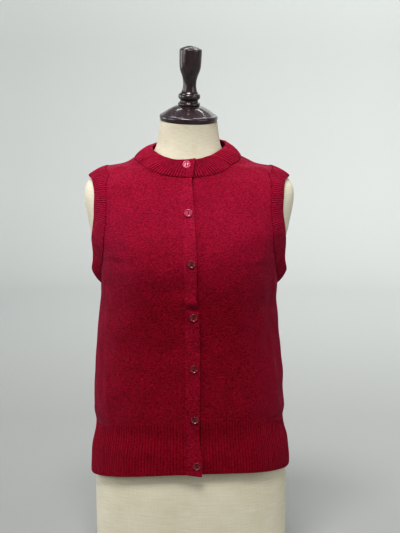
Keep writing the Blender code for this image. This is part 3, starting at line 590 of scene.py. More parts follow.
def sideEdge(side, face):
    # Side seam and armhole of one half, from the hem to the shoulder's tip.
    turn, line = armholeLine(armhole["seamColumns"], armhole["seamRows"], side, face)
    hole = np.stack([turn, line["height"]], axis=1)
    split = np.linspace(halfGap(vest["waistRadius"]), halfGap(vest["shoulderRadius"]), len(hole))
    hole[:, 0] -= face * side * split
    foot = (hole[0, 0], hemLine(side * pi / 2, "top"))
    seam = np.linspace(foot, hole[0], drawn["seam"])
    below = edged(panel["rows"]["side"], panel["rowTight"], last=False)
    beside = edged(panel["rows"]["armhole"], panel["rowTight"], first=False)
    low = atShares(seam, stepLengths(onCloth(seam)), below)
    high = atShares(hole, stepLengths(onCloth(hole)), beside)
    return np.concatenate([low, high[1:]])


def middleEdge(side, face, low, middle):
    # Button opening or middle of the back, then the neckline out to the shoulder.
    rows = panel["rows"]["front" if face > 0 else "back"]
    lowest = neckTable["seam"][0]
    if face > 0:
        corner = vestSections.turnOf(closingX(closing["seam"][side], lowest), lowest)
    else:
        corner = side * pi
    first = low + (middle - low) * edged(panel["rows"]["side"], panel["rowTight"], last=False)
    heights = np.concatenate([first, np.linspace(middle, neckLine(corner, "seam"), rows + 1)[1:]])
    if face > 0:
        x = closingX(closing["seam"][side], heights) + side * seamGap / 2
        turn = vestSections.turnOf(x, heights)
    else:
        turn = np.full(len(heights), corner)
    tip = side * (pi / 2 - face * halfGap(vest["shoulderRadius"]))
    turns = np.linspace(turn[-1], tip, drawn["line"])
    neckline = np.stack([turns, neckLine(turns, "seam")], axis=1)
    shares = edged(panel["rows"]["armhole"] - rows, panel["rowTight"], first=False)
    around = atShares(neckline, stepLengths(onCloth(neckline)), shares)
    return np.concatenate([np.stack([turn, heights], axis=1), around[1:]])


def halfPanel(side, face):
    # A quarter of the vest as a Coons patch of (turn, height): rows from the hem up to the
    # shoulder seam, columns from the middle of the front or back out to the side.
    outer = sideEdge(side, face)
    foot = hemLine(side * (hem["corner"] if face > 0 else pi), "top")
    inner = middleEdge(side, face, foot, outer[panel["rows"]["side"], 1] + panel["underarmRise"])
    shares = edged(panel["columns"][face], panel["tight"])
    top = np.linspace(inner[-1], outer[-1], drawn["seam"])
    top = atShares(top, stepLengths(onCloth(top)), shares)
    turns = inner[0, 0] + (outer[0, 0] - inner[0, 0]) * shares
    bottom = np.stack([turns, hemLine(turns, "top")], axis=1)
    inner[0], outer[0] = bottom[0], bottom[-1]
    s = shares[None, :, None]
    t = np.linspace(0, 1, len(inner))[:, None, None]
    ruled = (1 - t) * bottom[None] + t * top[None]
    across = (1 - s) * inner[:, None] + s * outer[:, None]
    corners = (1 - t) * ((1 - s) * bottom[0] + s * bottom[-1]) + t * ((1 - s) * top[0] + s * top[-1])
    return ruled + across - corners


def lapped(x, height):
    # How far the right front is lifted where it nears the strip that lies on top.
    distance = np.clip(closingX("overSeam", height) - x, 0, None)
    return closing["layer"] * np.exp(-((distance / closing["layerFade"]) ** 2))


def panelGrids(side, face):
    # One half panel as a closed wall. Its flat chart counts x from the middle and runs on along
    # the rows, and runs up from the hem along the columns.
    grid = halfPanel(side, face)
    turn, height = grid[..., 0], grid[..., 1]
    plain = cloth(turn, height)[0]
    lift = lapped(plain[..., 0], height) if side < 0 < face else 0.0
    rows, columns = stepLengths(plain, axis=1), stepLengths(plain, axis=0)
    chart = stacked(plain[:, :1, 0] + side * rows, columns + hem["top"])
    half = vest["wall"] / 2 * roundOff(fromEnd(rows), panel["edgeRound"])
    half = half * roundOff(columns, panel["squareRound"])
    half = half * roundOff(fromTop(columns), panel["edgeRound"])
    if face > 0:
        half = half * roundOff(rows, panel["closingRound"])
    else:
        # the two halves of the back are one piece, so only the neckline is an edge there
        neckline = panel["rows"]["side"] + panel["rows"]["back"]
        half[neckline:] *= roundOff(rows[neckline:], panel["edgeRound"])
    return shell(lambda out: cloth(turn, height, lift + out)[0], chart, -vest["wall"] / 2, half)


def makePanels(finish):
    pieces = [
        addPiece("jersey_front_right", panelGrids(-1, 1), finish),
        addPiece("jersey_front_left", panelGrids(1, 1), finish),
        addPiece("jersey_back", panelGrids(-1, -1) + panelGrids(1, -1), finish),
    ]
    cuts = (((0.230, 0.500), 0.0940), ((0.220, 0.500), 0.0905), ((0.440, 0.515), 0.2060))
    for piece, node, (flat, area) in zip(pieces, ("front_right", "front_left", "back"), cuts):
        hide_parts(node)
    print("jersey: fronts and back")


# Ribbed hem

hemBand = {
    "ribs": {"front": 48, "back": 100},
    "rows": 26,
    "half": 0.0011,
    "overlap": 0.0012,
    "proud": 0.0003,
    "edgeRound": 0.0011,
    "fade": {"top": 0.005, "foot": 0.0015, "ends": 0.002},  # of the ribs, near its edges
    "pitch": 0.0050,
    "tight": 0.012,
}


def hemGrids(start, end, ribs, lap=False):
    # start and end give the turn of each end of the band at a height. Rows run up from the
    # hem's free edge to just over the jersey; ribs fade in below that line.
    samples = ribs * ribShape["samples"]
    s = np.linspace(0, 1, samples + 1)[None, :]
    t = edged(hemBand["rows"], hemBand["tight"])[:, None]
    turn = start(hem["top"]) * (1 - s) + end(hem["top"]) * s
    for _ in range(2):
        low, high = hemLine(turn, "bottom"), hemLine(turn, "top") + hemBand["overlap"]
        height = low + (high - low) * t
        turn = start(height[:, :1]) * (1 - s) + end(height[:, -1:]) * s
    plain = cloth(turn, height)[0]
    lift = lapped(plain[..., 0], height) if lap else 0.0
    rows, columns = stepLengths(plain, axis=1), stepLengths(plain, axis=0)
    edge, fade = hemBand["edgeRound"], hemBand["fade"]
    half = hemBand["half"] * roundOff(columns, edge)
    half = half * roundOff(fromTop(columns), panel["squareRound"])
    half = half * roundOff(rows, edge) * roundOff(fromEnd(rows), edge)
    within = eased(fromTop(columns) / fade["top"]) * eased(columns / fade["foot"])
    within = within * eased(rows / fade["ends"]) * eased(fromEnd(rows) / fade["ends"])
    rise = ribRise(s, ribs, columns) * within
    chart = stacked(s * ribs * hemBand["pitch"], columns)
    centre = hemBand["proud"] - hemBand["half"]
    return shell(lambda out: cloth(turn, height, lift + out)[0], chart, centre, half, rise)


def upright(turn):
    return lambda height: np.full(np.shape(height), turn)


def besideClosing(side):
    def turnAt(height):
        x = closingX(closing["seam"][side], height) + side * seamGap / 2
        return vestSections.turnOf(x, height)

    return turnAt


def makeHems(finish):
    quarter, split = pi / 2, halfGap(vest["waistRadius"])
    ribs = hemBand["ribs"]
    right, left = upright(split - quarter), upright(quarter - split)
    back = upright(quarter + split), upright(3 * quarter - split)
    grids = {
        "hem_front_right": hemGrids(right, besideClosing(-1), ribs["front"], lap=True),
        "hem_front_left": hemGrids(besideClosing(1), left, ribs["front"]),
        "hem_back": hemGrids(*back, ribs["back"]),
    }
    for node, made in grids.items():
        piece = addPiece("rib_" + node, made, finish)
        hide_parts(node)
    print("rib: hem")


# Button strips

strip = {
    "columns": 18,
    "rows": 330,
    "half": {"over": 0.0013, "under": 0.0009},
    "round": {"over": 0.0012, "under": 0.0009},
    "curl": 0.0010,  # by how much the upper strip's free edge stands off
    "tucked": 0.0008,  # the upper strip runs on under the jersey's edge by this
    "intoSeam": 0.0005,  # and both run on past the neck seam's line by this
    "tight": {"across": 0.045, "along": 0.0018},
    "spread": 0.55,  # of each buckle across the strip
    "buckles": (  # height, length, rise, and how far over from the seam it is strongest
        (0.5065, 0.0082, 0.0050, 0.62),
        (0.4925, 0.0044, -0.0024, 0.70),
        (0.4860, 0.0060, 0.0004, 0.60),
        (0.7190, 0.0050, 0.0022, 0.90),
        (0.7060, 0.0060, -0.0008, 0.90),
        (0.6880, 0.0120, 0.0014, 1.00),
        (0.6240, 0.0140, 0.0010, 0.90),
        (0.4290, 0.0200, 0.0009, 0.95),
        (0.3390, 0.0200, 0.0009, 0.95),
        (0.2490, 0.0160, 0.0012, 0.95),
        (0.1880, 0.0080, 0.0014, 1.00),
    ),
}


def stripBuckles(height, across):
    # Bells along the strip, each strongest at its own place across it.
    rise = 0.0
    for middle, length, lift, place in strip["buckles"]:
        bell = np.exp(-(((height - middle) / length) ** 2))
        rise = rise + lift * bell * np.exp(-(((across - place) / strip["spread"]) ** 2))
    return rise


def stripGrids(first, last, which, level):
    # A strip between two lines of x, from its free end at the hem up to the neck seam.
    q = edged(strip["columns"], strip["tight"]["across"])[None, :]
    t = edged(strip["rows"], strip["tight"]["along"], last=False)[:, None]
    height = hem["bottom"] + (neckTable["seam"][0] - hem["bottom"]) * t
    height = np.broadcast_to(height, (len(t), q.size))
    for _ in range(2):
        x = first(height) + (last(height) - first(height)) * q
        turn = vestSections.turnOf(x, height)
        low = hemLine(turn[0], "bottom") - closing["drop"][which] * q[0]
        high = neckLine(turn[-1], "seam") + strip["intoSeam"]
        height = low + (high - low) * t
    plain = cloth(turn, height)[0]
    rows, columns = stepLengths(plain, axis=1), stepLengths(plain, axis=0)
    edge = strip["round"][which]
    half = strip["half"][which] * roundOff(rows, edge) * roundOff(fromEnd(rows), edge)
    half = half * roundOff(columns, edge) * roundOff(fromTop(columns), panel["squareRound"])
    lift = level + (stripBuckles(height, q) + strip["curl"] * q**3 if which == "over" else 0.0)
    chart = stacked(rows, columns)
    return shell(lambda out: cloth(turn, height, lift + out)[0], chart, -strip["half"][which], half)


def besideLine(name, aside=0.0):
    return lambda height: closingX(name, height) - aside


def makeStrips(finish):
    seam, edge = besideLine("overSeam", strip["tucked"]), besideLine("overEdge")
    over = stripGrids(seam, edge, "over", closing["layer"] + seamGap)
    edge, seam = besideLine("underSeam", closing["underWidth"]), besideLine("underSeam")
    under = stripGrids(edge, seam, "under", 0.0)
    for node, grids in (("placket_over", over), ("placket_under", under)):
        piece = addPiece("strip_" + node, grids, finish)
        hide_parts(node)
    print("strips: over and under")


# Neckband and armhole bands

band = {"overlap": 0.0012, "rows": 18, "pitch": 0.0048}
neckEnds = {
    "ribFade": 0.002,  # at the neckband's two ends
    "plainOver": 0.026,  # the ribs flatten over this length of the upper end,
    "plainDepth": 0.12,  # to this share of their depth,
    "plainRibs": 4,  # and the faces of the last ribs are knitted plain
    "gap": 0.0006,  # between the upper end and the lower end's ribs
    "lift": 0.0014,  # by which the upper end's tip stands off
}


def bandPlaces(low, high, normal, crown, rows):
    # Rows run from just over the jersey, across the seam, to the band's free edge; the crown is
    # a parabola between the two. Returns a function of the distance out, and the row lengths.
    across = high - low
    width = np.linalg.norm(across, axis=-1)[None, :]
    share = -band["overlap"] / width + (1 + band["overlap"] / width) * rows[:, None]
    bow = crown * (1 - (2 * np.clip(share, 0, 1) - 1) ** 2)

    def place(out):
        return low[None] + across[None] * share[..., None] + normal[None] * (bow + out)[..., None]

    return place, share * width


def bandGrids(rails, shape, ends=1.0, ribEnds=1.0):
    # The wall of a band, rounded off along its two edges, and its ribs. ends and ribEnds are the
    # shares of thickness and of rib depth that are left along a band that doesn't close.
    low, high, normal = rails
    place, up = bandPlaces(low, high, normal, shape["crown"], edged(band["rows"], shape["tight"]))
    half, rim = shape["half"], shape["rim"]
    thick = half * roundOff(up - up[:1], half) * roundOff(fromTop(up), half) * ends
    within = eased((up - up[:1]) / shape["fade"])
    within = within * (rim["depth"] + (1 - rim["depth"]) * eased(fromTop(up) / rim["over"]))
    within = within * ribEnds * roundOff(fromTop(up), half)
    share = np.linspace(0, 1, len(low))[None, :]
    chart = stacked(share * shape["ribs"] * band["pitch"], up)
    rise = ribRise(share, shape["ribs"], up, shape["depth"]) * within
    return shell(place, chart, shape["proud"] - half, thick, rise)


def neckRails():
    # The seam, evenly spaced, from the band's lower end at the front round towards +X and the
    # back to its upper end, and the free edge beside it.
    lap = neck["lap"]
    turns = np.linspace(lap["under"], 2 * pi + lap["over"], drawn["neckSeam"])
    seam = cloth(turns, neckLine(turns, "seam"))[0]
    shares = np.linspace(0, 1, neck["ribs"] * ribShape["samples"] + 1)
    turns = atShares(turns[:, None], stepLengths(seam), shares)[:, 0]
    low = cloth(turns, neckLine(turns, "seam"))[0]
    # the upper end's free corner reaches further over than its corner on the seam
    late = eased((turns - turns[-1]) / lap["fade"] + 1)
    flare = neck["flare"]["by"] * eased((turns - turns[-1]) / neck["flare"]["over"] + 1)
    high = neckEdge(turns + flare)
    normal = unit(np.cross(np.gradient(low, axis=0), unit(high - low)))
    lift = (closing["layer"] + ribShape["crest"] + neckEnds["gap"]) * late
    lift = (lift + neckEnds["lift"] * late**6)[:, None]
    return low + normal * lift, high + normal * lift, normal


def makeNeckband(finish, plainFinish):
    rails = neckRails()
    along = stepLengths(rails[0])[None, :]
    ending = fromEnd(along)
    ends = roundOff(along, neck["half"]) * roundOff(ending, neck["half"])
    left = neckEnds["plainDepth"]
    ribEnds = left + (1 - left) * eased(ending / neckEnds["plainOver"])
    ribEnds = ribEnds * eased(along / neckEnds["ribFade"]) * eased(ending / neckEnds["ribFade"])
    piece = addPiece("rib_neckband", bandGrids(rails, neck, ends, ribEnds), finish)
    mesh = piece.data
    mesh.materials.append(plainFinish)
    starts, flat = np.empty(len(mesh.polygons), int), np.empty(len(mesh.loops) * 2)
    mesh.polygons.foreach_get("loop_start", starts)
    mesh.uv_layers["chart"].data.foreach_get("uv", flat)
    plain = flat[::2][starts] > (neck["ribs"] - neckEnds["plainRibs"]) * band["pitch"]
    mesh.polygons.foreach_set("material_index", plain.astype(int))
    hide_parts("neckband")
    print("rib: neckband")
    return rails


def armholeRails(side):
    # Seam and free edge of one armhole, up the front and down the back, evenly spaced.
    rails = []
    for columns, rows in (("seamColumns", "seamRows"), ("edgeColumns", "edgeRows")):
        halves = []
        for face in (1, -1):
            turn, line = armholeLine(armhole[columns], armhole[rows], side, face)
            out = np.clip(line.get("out", np.zeros(len(turn))), 0, None)
            points = cloth(turn, line["height"], out)[0]
            shares = np.linspace(0, 1, armhole["ribs"] * ribShape["samples"] // 2 + 1)
            halves.append(atShares(points, stepLengths(points), shares))
        rails.append(np.concatenate([halves[0], halves[1][-2::-1]]))
    low, high = rails
    if side > 0:
        low, high = low[::-1], high[::-1]
    run = np.roll(low[:-1], -1, axis=0) - np.roll(low[:-1], 1, axis=0)
    run = np.concatenate([run, run[:1]])
    return low, high, unit(np.cross(run, unit(high - low)))


def makeArmholeBand(name, node, side, finish):
    rails = armholeRails(side)
    piece = addPiece(name, bandGrids(rails, armhole), finish)
    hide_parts(node)
    return rails


# Linking stitches where the bands are sewn on

stitch = {
    "pitch": 0.0024,
    "length": 0.0028,
    "radius": 0.00055,
    "lift": 0.0002,
    "rise": 0.00045,
    "lean": 0.0007,
    "onBand": 0.35,  # the share of its length that lies on the band
    "astray": 0.0003,
    "sizes": (0.7, 1.35),
    "sides": 6,
    "steps": 7,
    "seed": 11,
}


def stitchRow(name, rails, finish):
    # Short arched grains of yarn across a band's seam: each is a tube along a leaning line,
    # thinned to nothing at its ends and raised in its middle. across points at the jersey.
    seam, edge, normal = rails
    lengths = stepLengths(seam)
    count = int(lengths[-1] / stitch["pitch"])
    shares = (np.arange(count) + 0.5) / count
    centre = atShares(seam, lengths, shares)
    across = unit(atShares(seam - edge, lengths, shares))
    chance = np.random.default_rng(stitch["seed"])
    centre = centre + across * chance.normal(0, stitch["astray"], (count, 1))
    size = chance.uniform(*stitch["sizes"], count)[:, None, None, None]
    out = unit(atShares(normal, lengths, shares))
    run = unit(np.cross(across, out))
    u = np.linspace(0, 1, stitch["steps"])[None, :, None, None]
    angle = np.linspace(0, 2 * pi, stitch["sides"] + 1)[None, None, :, None]
    width = stitch["radius"] * size * np.sqrt(np.clip(np.sin(pi * u), 0, 1))
    centre, across, out, run = (v[:, None, None, :] for v in (centre, across, out, run))
    line = centre + across * (u - stitch["onBand"]) * stitch["length"] + run * (u - 0.5) * stitch["lean"]
    line = line + out * (stitch["lift"] + stitch["rise"] * np.sin(pi * u))
    tubes = line + width * (run * np.cos(angle) + out * np.sin(angle))
    piece = addPiece(name, [(tube, lengthChart(u[0] * stitch["length"], tube)) for tube in tubes], finish)


# Buttons

button = {
    "profile": (  # radius, height above its back, from the middle of the face round to the back
        (0.0000, 0.00165),
        (0.0030, 0.00160),
        (0.0044, 0.00175),
        (0.0052, 0.00240),
        (0.0060, 0.00285),
        (0.0067, 0.00270),
        (0.0073, 0.00205),
        (0.0075, 0.00130),
        (0.0072, 0.00055),
        (0.0062, 0.00000),
    ),
    "rings": 44,
    "around": 96,
    "holeApart": 0.0036,
    "holeRadius": 0.00095,
    "holeDepth": 0.0014,
    "holeSlope": {"from": 0.75, "over": 0.35},  # of its wall, as shares of its radius
    "threadRadius": 0.00036,
    "threadLength": 0.004,
    "strands": (-0.9, 0.9),  # where each lies beside the middle, in thread radii
    "strandArch": {"foot": 0.0008, "rise": 0.0013},
    "settled": {"button_1": (0.0, -0.0010, -0.0020)},  # it sags a little on its thick band
}


def nodeFrame(name):
    # Middle of a turned solid's points, and its axis: the way in which they spread least.
    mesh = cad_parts[name].data
    points = np.empty(len(mesh.vertices) * 3)
    mesh.vertices.foreach_get("co", points)
    points = np.unique(points.reshape(-1, 3).round(6), axis=0)
    low, high = points.min(axis=0), points.max(axis=0)
    middle = (low + high) / 2
    axis = np.linalg.eigh(np.cov((points - middle).T))[1][:, 0]
    return points, middle, axis * -np.sign(axis[1])


def buttonGrids(back, axis):
    # Rings round the axis: the profile's spline, less two round holes, one above the other.
    side = unit(np.cross(np.array([0.0, 0.0, 1.0]), axis))
    up = np.cross(axis, side)
    profile = np.array(button["profile"])
    marks = stepLengths(profile)
    fine = np.linspace(0, marks[-1], button["rings"])
    radius, height = spline(fine, marks, profile[:, 0]), spline(fine, marks, profile[:, 1])
    radius, height = np.append(radius, 0.0), np.append(height, 0.0)
    angle = np.linspace(0, 2 * pi, button["around"] + 1)[None, :]
    x, y = radius[:, None] * np.cos(angle), radius[:, None] * np.sin(angle)
    apart = np.hypot(x, np.abs(y) - button["holeApart"] / 2)
    slope = button["holeSlope"]
    wall = eased((apart / button["holeRadius"] - slope["from"]) / slope["over"])
    sunk = button["holeDepth"] * (1 - wall)
    z = np.broadcast_to(height[:, None], x.shape) - np.where(height[:, None] > 0, sunk, 0)
    place = back + x[..., None] * side + y[..., None] * up + z[..., None] * axis
    return [(place, stacked(x, y))], side, up


def threadGrids(back, axis, side, up):
    # Two strands side by side from hole to hole: arches that dip into both, closed at their ends.
    u = np.linspace(0, 1, 13)[:, None, None]
    radius, arch = button["threadRadius"], button["strandArch"]
    thick = radius * np.where((u > 0) & (u < 1), 1, 0)
    angle = np.linspace(0, 2 * pi, 9)[None, :, None]
    grids = []
    for place in button["strands"]:
        line = back + side * place * radius + up * (u - 0.5) * button["holeApart"]
        line = line + axis * (arch["foot"] + arch["rise"] * np.sin(pi * u) ** 0.5)
        tube = line + thick * (side * np.cos(angle) + axis * np.sin(angle))
        grids.append((tube, lengthChart(u * button["threadLength"], tube)))
    return grids


def makeButtons(finish, thread):
    for number in range(1, 8):
        node = f"button_{number}"
        points, middle, axis = nodeFrame(node)
        along = (points - middle) @ axis
        back = middle + axis * along.min() + np.array(button["settled"].get(node, (0, 0, 0)))
        grids, side, up = buttonGrids(back, axis)
        piece = addPiece(f"two_hole_{node}", grids, finish)
        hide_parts(node)
        sewn = addPiece(f"thread_{node}", threadGrids(back, axis, side, up), thread)
    print("buttons: 7, with their threads")


# Dress form and neck cap

cap = {
    "segments": (  # radius, height above the cap's flat underside; each one is a smooth curve
        ((0.0000, 0.1350), (0.0050, 0.1345), (0.0100, 0.1333), (0.0150, 0.1314), (0.0188, 0.1294)),
        ((0.0188, 0.1294), (0.0198, 0.1287), (0.0203, 0.1272)),
        ((0.0203, 0.1272), (0.0204, 0.1220), (0.0202, 0.1130), (0.0199, 0.1030), (0.0194, 0.0965)),
        (
            *((0.0194, 0.0965), (0.0180, 0.0900), (0.0155, 0.0835), (0.0132, 0.0760)),
            *((0.0121, 0.0690), (0.0121, 0.0630), (0.0130, 0.0565), (0.0150, 0.0512)),
            (0.0168, 0.0490),
        ),
        (
            *((0.0168, 0.0490), (0.0188, 0.0478), (0.0200, 0.0450), (0.0201, 0.0425)),
            *((0.0190, 0.0397), (0.0172, 0.0384)),
        ),
        ((0.0172, 0.0384), (0.0166, 0.0372), (0.0166, 0.0345), (0.0174, 0.0330)),
        ((0.0174, 0.0330), (0.0194, 0.0322), (0.0202, 0.0305), (0.0202, 0.0288), (0.0192, 0.0272)),
        ((0.0192, 0.0272), (0.0240, 0.0258), (0.0330, 0.0215), (0.0420, 0.0156), (0.0490, 0.0108)),
        (
            *((0.0490, 0.0108), (0.0520, 0.0094), (0.0532, 0.0070), (0.0531, 0.0040)),
            *((0.0522, 0.0014), (0.0500, 0.0002)),
        ),
        ((0.0500, 0.0000), (0.0250, 0.0000), (0.0000, 0.0000)),
    ),
    "perPoint": 3,  # rings for each point of a segment
    "around": 112,
    "gap": 0.0005,
    "chartRadius": 0.02,
}


def capCentre():
    top = form["neckTop"]
    front, back = formSections.at("front", top), formSections.at("back", top)
    return np.array([float(formSections.at("middle", top)), float(back - front) / 2, top])


def makeForm(finish):
    # The sections' own outline, with the neck's top tipped like its cap, closed at both ends by
    # rows that run in to the middle.
    heights = np.linspace(0, form["neckTop"], form["up"] + 1)
    heights = np.concatenate([[0.0], form["footRows"], heights[1:]])[:, None]
    turns = np.linspace(0, 2 * pi, form["around"] + 1)[None, :]
    points = formSections.point(turns, heights)
    centre = capCentre()
    reach = form["neckTop"] - form["leanFrom"]
    rise = np.clip((heights[..., None] - form["leanFrom"]) / reach, 0, 1)
    lean = (points[..., 1:2] - centre[1]) * tan(form["capLean"])
    turn = (points[..., 0:1] - centre[0]) * -tan(form["capTurn"])
    points[..., 2:] += rise * rise * (lean + turn)
    chart = stacked(turns * form["chartRadius"], heights)
    foot, top = points[:1].copy(), points[-1:].copy()
    foot[..., :2] *= form["footShare"]
    middles = [np.broadcast_to(row.mean(axis=1, keepdims=True), row.shape) for row in (foot, top)]
    points = np.concatenate([middles[0], foot, points[1:], middles[1]])
    chart = np.concatenate([chart[:1], chart, chart[-1:]])
    piece = addPiece("form_cover", [(points, chart)], finish)
    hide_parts("torso_form")
    print("form: cover")


def makeCap(finish):
    # Each segment of the profile is a spline along its own length, turned round the axis.
    radius, height = [], []
    for segment in cap["segments"]:
        points = np.array(segment)
        marks = stepLengths(points)
        fine = np.linspace(0, marks[-1], cap["perPoint"] * len(points))
        radius.append(spline(fine, marks, points[:, 0]))
        height.append(spline(fine, marks, points[:, 1]))
    radius, height = np.concatenate(radius)[:, None], np.concatenate(height)[:, None]
    angle = np.linspace(0, 2 * pi, cap["around"] + 1)[None, :]
    local = stacked(radius * np.cos(angle), radius * np.sin(angle), height + cap["gap"])
    tip = np.array(Matrix.Rotation(form["capLean"], 3, "X") @ Matrix.Rotation(form["capTurn"], 3, "Y"))
    points = local @ tip.T + capCentre()
    chart = stacked(angle * cap["chartRadius"], height)
    piece = addPiece("turned_cap", [(points, chart)], finish, smoothBelow=35)
    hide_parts("neck_cap")
    print("cap: turned")


# Materials


class Term:
    # A number that varies over a surface. Each step of arithmetic with it adds a Math node.
    def __init__(self, paint, socket):
        self.paint, self.socket = paint, socket

    def do(self, operation, *others):
        return self.paint.worked(operation, self, *others)

    def __add__(self, other):
        return self.do("ADD", other)

    def __sub__(self, other):
        return self.do("SUBTRACT", other)

    def __rsub__(self, other):
        return self.paint.worked("SUBTRACT", other, self)

    def __mul__(self, other):
        return self.do("MULTIPLY", other)

    def __truediv__(self, other):
        return self.do("DIVIDE", other)

    def __pow__(self, other):
        return self.do("POWER", other)

    def __abs__(self):
        return self.do("ABSOLUTE")


class Paint:
    # One material: its Principled shader and the nodes that feed it.
    def __init__(self, name, **constants):
        self.material = bpy.data.materials.new(name)
        self.material.use_nodes = True
        self.tree = self.material.node_tree
        self.shader = self.tree.nodes["Principled BSDF"]
        for socket, value in constants.items():
            self.shader.inputs[socket.replace("_", " ")].default_value = value

    def node(self, kind, settings, values):
        # Adds a node, sets it up, then gives its sockets their values or links.
        made = self.tree.nodes.new(kind)
        for setting, value in settings.items():
            setattr(made, setting, value)
        for socket, value in values.items():
            value = value.socket if isinstance(value, Term) else value
            if isinstance(value, bpy.types.NodeSocket):
                self.tree.links.new(value, made.inputs[socket])
            else:
                made.inputs[socket].default_value = value
        return made

    def worked(self, operation, *values):
        # What a Math node makes of these numbers and terms.
        made = self.node("ShaderNodeMath", {"operation": operation}, dict(enumerate(values)))
        return Term(self, made.outputs[0])

    def feed(self, socket, value):
        value = value.socket if isinstance(value, Term) else value
        self.tree.links.new(value, self.shader.inputs[socket])

    def parts(self, vector):
        # The x, y and z of a vector, as three terms.
        made = self.node("ShaderNodeSeparateXYZ", {}, {0: vector})
        return [Term(self, socket) for socket in made.outputs]

    def chart(self):
        # The piece's own flat coordinates, in metres, as two terms.
        return self.parts(self.node("ShaderNodeUVMap", {"uv_map": "chart"}, {}).outputs["UV"])[:2]

    def place(self, stretch=(1, 1, 1)):
        here = self.node("ShaderNodeTexCoord", {}, {}).outputs["Object"]
        return self.node("ShaderNodeMapping", {}, {"Vector": here, "Scale": stretch}).outputs[0]

    def joined(self, x, y, z=0.0):
        return self.node("ShaderNodeCombineXYZ", {}, {0: x, 1: y, 2: z}).outputs[0]

    def noise(self, where, scale, detail=2.0, rough=0.5):
        values = {"Vector": where, "Scale": scale, "Detail": detail, "Roughness": rough}
        return Term(self, self.node("ShaderNodeTexNoise", {}, values).outputs[0])

    def between(self, term, low, high, to=(0.0, 1.0)):
        values = {"Value": term, "From Min": low, "From Max": high, "To Min": to[0], "To Max": to[1]}
        return Term(self, self.node("ShaderNodeMapRange", {}, values).outputs[0])

    def mixed(self, share, first, second):
        # A colour between two colours.
        values = {0: share, 6: first, 7: second}
        return self.node("ShaderNodeMix", {"data_type": "RGBA"}, values).outputs[2]

    def bump(self, height, distance, under=None):
        values = {"Height": height, "Distance": distance, "Strength": 1.0}
        if under is not None:
            values["Normal"] = under
        return self.node("ShaderNodeBump", {}, values).outputs[0]


wool = {
    "shade": (0.060, 0.0003, 0.0025, 1),
    "deep": (0.125, 0.0003, 0.0020, 1),
    "plain": (0.245, 0.0008, 0.0068, 1),
    "light": (0.600, 0.0300, 0.1050, 1),
    "sheenTint": (1.0, 0.22, 0.56, 1),
    "glossTint": (1.0, 0.40, 0.85, 1),
    "paler": (0.50, 0.66),  # painted light: the cloth is paler from the lower of these heights to the upper, standing in for light on the chest, and painted shade makes it a little less pale over the shoulders
    "duller": (0.70, 0.76),  # and a little less so over the shoulders
}


def knitPaint(name, wale, course, legShare, furrow=0.0, crest=0.0, lighter=1.0):
    # Columns of V-shaped stitches from the chart, blurred by brushed fibre. wale and course are
    # a stitch's width and height, legShare how much of the width its two legs fill. furrow is
    # how much painted shade darkens the yarn between two ribs, where it lies in its own shade, and
    # crest how much a painted highlight pales it on top of them. The cloth is also painted paler
    # by height over the chest, as painted light.
    paint = Paint(name, Roughness=0.62, Specular_IOR_Level=0.18, Sheen_Weight=0.26, Sheen_Roughness=0.24)
    paint.shader.inputs["Sheen Tint"].default_value = wool["sheenTint"]
    paint.shader.inputs["Specular Tint"].default_value = wool["glossTint"]
    u, v = paint.chart()
    here = paint.place()
    stray = paint.noise(here, 160, 2.0) - 0.5
    between = abs((u / wale + stray * 0.25).do("FRACT") - 0.5) * 2
    beside = (between * (1 / legShare)).do("MINIMUM", 1.0)
    leg = 1 - (beside * 2 - 1) ** 2.0
    rows = ((v / course + beside * 0.8 + stray * 0.6) * (2 * pi)).do("COSINE")
    stitches = leg * (rows * 0.4 + 0.6)
    fibre = paint.noise(paint.joined(u * 900, v * 380), 1.0, 3.0, 0.65)
    fluff = paint.noise(here, 1100, 3.0, 0.6)
    nap = paint.noise(paint.place((1, 1, 2.6)), 270, 4.0, 0.68)
    patch = paint.noise(here, 42, 2.0, 0.5)
    relief = stitches * 0.50 + fluff * 0.45 + fibre * 0.35
    normal = paint.bump(relief, 0.00075)
    normal = paint.bump(nap, 0.0018, normal)
    paint.feed("Normal", normal)
    light = paint.between(fluff * 0.20 + nap * 0.80 + stitches * 0.14, 0.46, 0.72)
    dark = paint.between(nap * 0.8 + patch * 0.2 + fibre * 0.15, 0.40, 0.67)
    height = paint.parts(here)[2]
    # painted light: paler with height over the chest, and a little less so over the shoulders
    paintedLight = paint.between(height, *wool["paler"], (0.0, 0.37))
    paintedLight = paintedLight - paint.between(height, *wool["duller"], (0.0, 0.20))
    colour = paint.mixed(dark, wool["deep"], wool["plain"])
    # the rib crests' painted highlight and the painted light by height both pale the cloth here
    top = (1 - between) * crest + paintedLight * (light * 0.9 + 0.65)
    colour = paint.mixed(light * (0.44 * lighter) + top, colour, wool["light"])
    # painted shade: the furrows between ribs are mixed towards the shade colour
    paint.feed("Base Color", paint.mixed(between**2.5 * furrow, colour, wool["shade"]))
    return paint.material


def formPaint():
    # A woven cover: fine uneven threads, mostly level ones, in warm cream.
    paint = Paint("cream woven cover", Roughness=0.78, Specular_IOR_Level=0.25, Sheen_Weight=0.08)
    u, v = paint.chart()
    weft = paint.noise(paint.joined(u * 26, v * 620), 1.0, 3.0, 0.6)
    warp = paint.noise(paint.joined(u * 700, v * 30), 1.0, 2.0, 0.5)
    cloudy = paint.noise(paint.place(), 9, 3.0, 0.5)
    threads = ((u * (2 * pi / 0.0011)).do("SINE") * (v * (2 * pi / 0.0011)).do("SINE")) * 0.5 + 0.5
    paint.feed("Normal", paint.bump(threads * 0.35 + weft * 0.5 + warp * 0.25, 0.00035))
    tone = paint.between(weft * 0.55 + warp * 0.2 + cloudy * 0.45, 0.42, 0.76)
    paint.feed("Base Color", paint.mixed(tone, (0.645, 0.590, 0.455, 1), (0.790, 0.750, 0.628, 1)))
    return paint.material


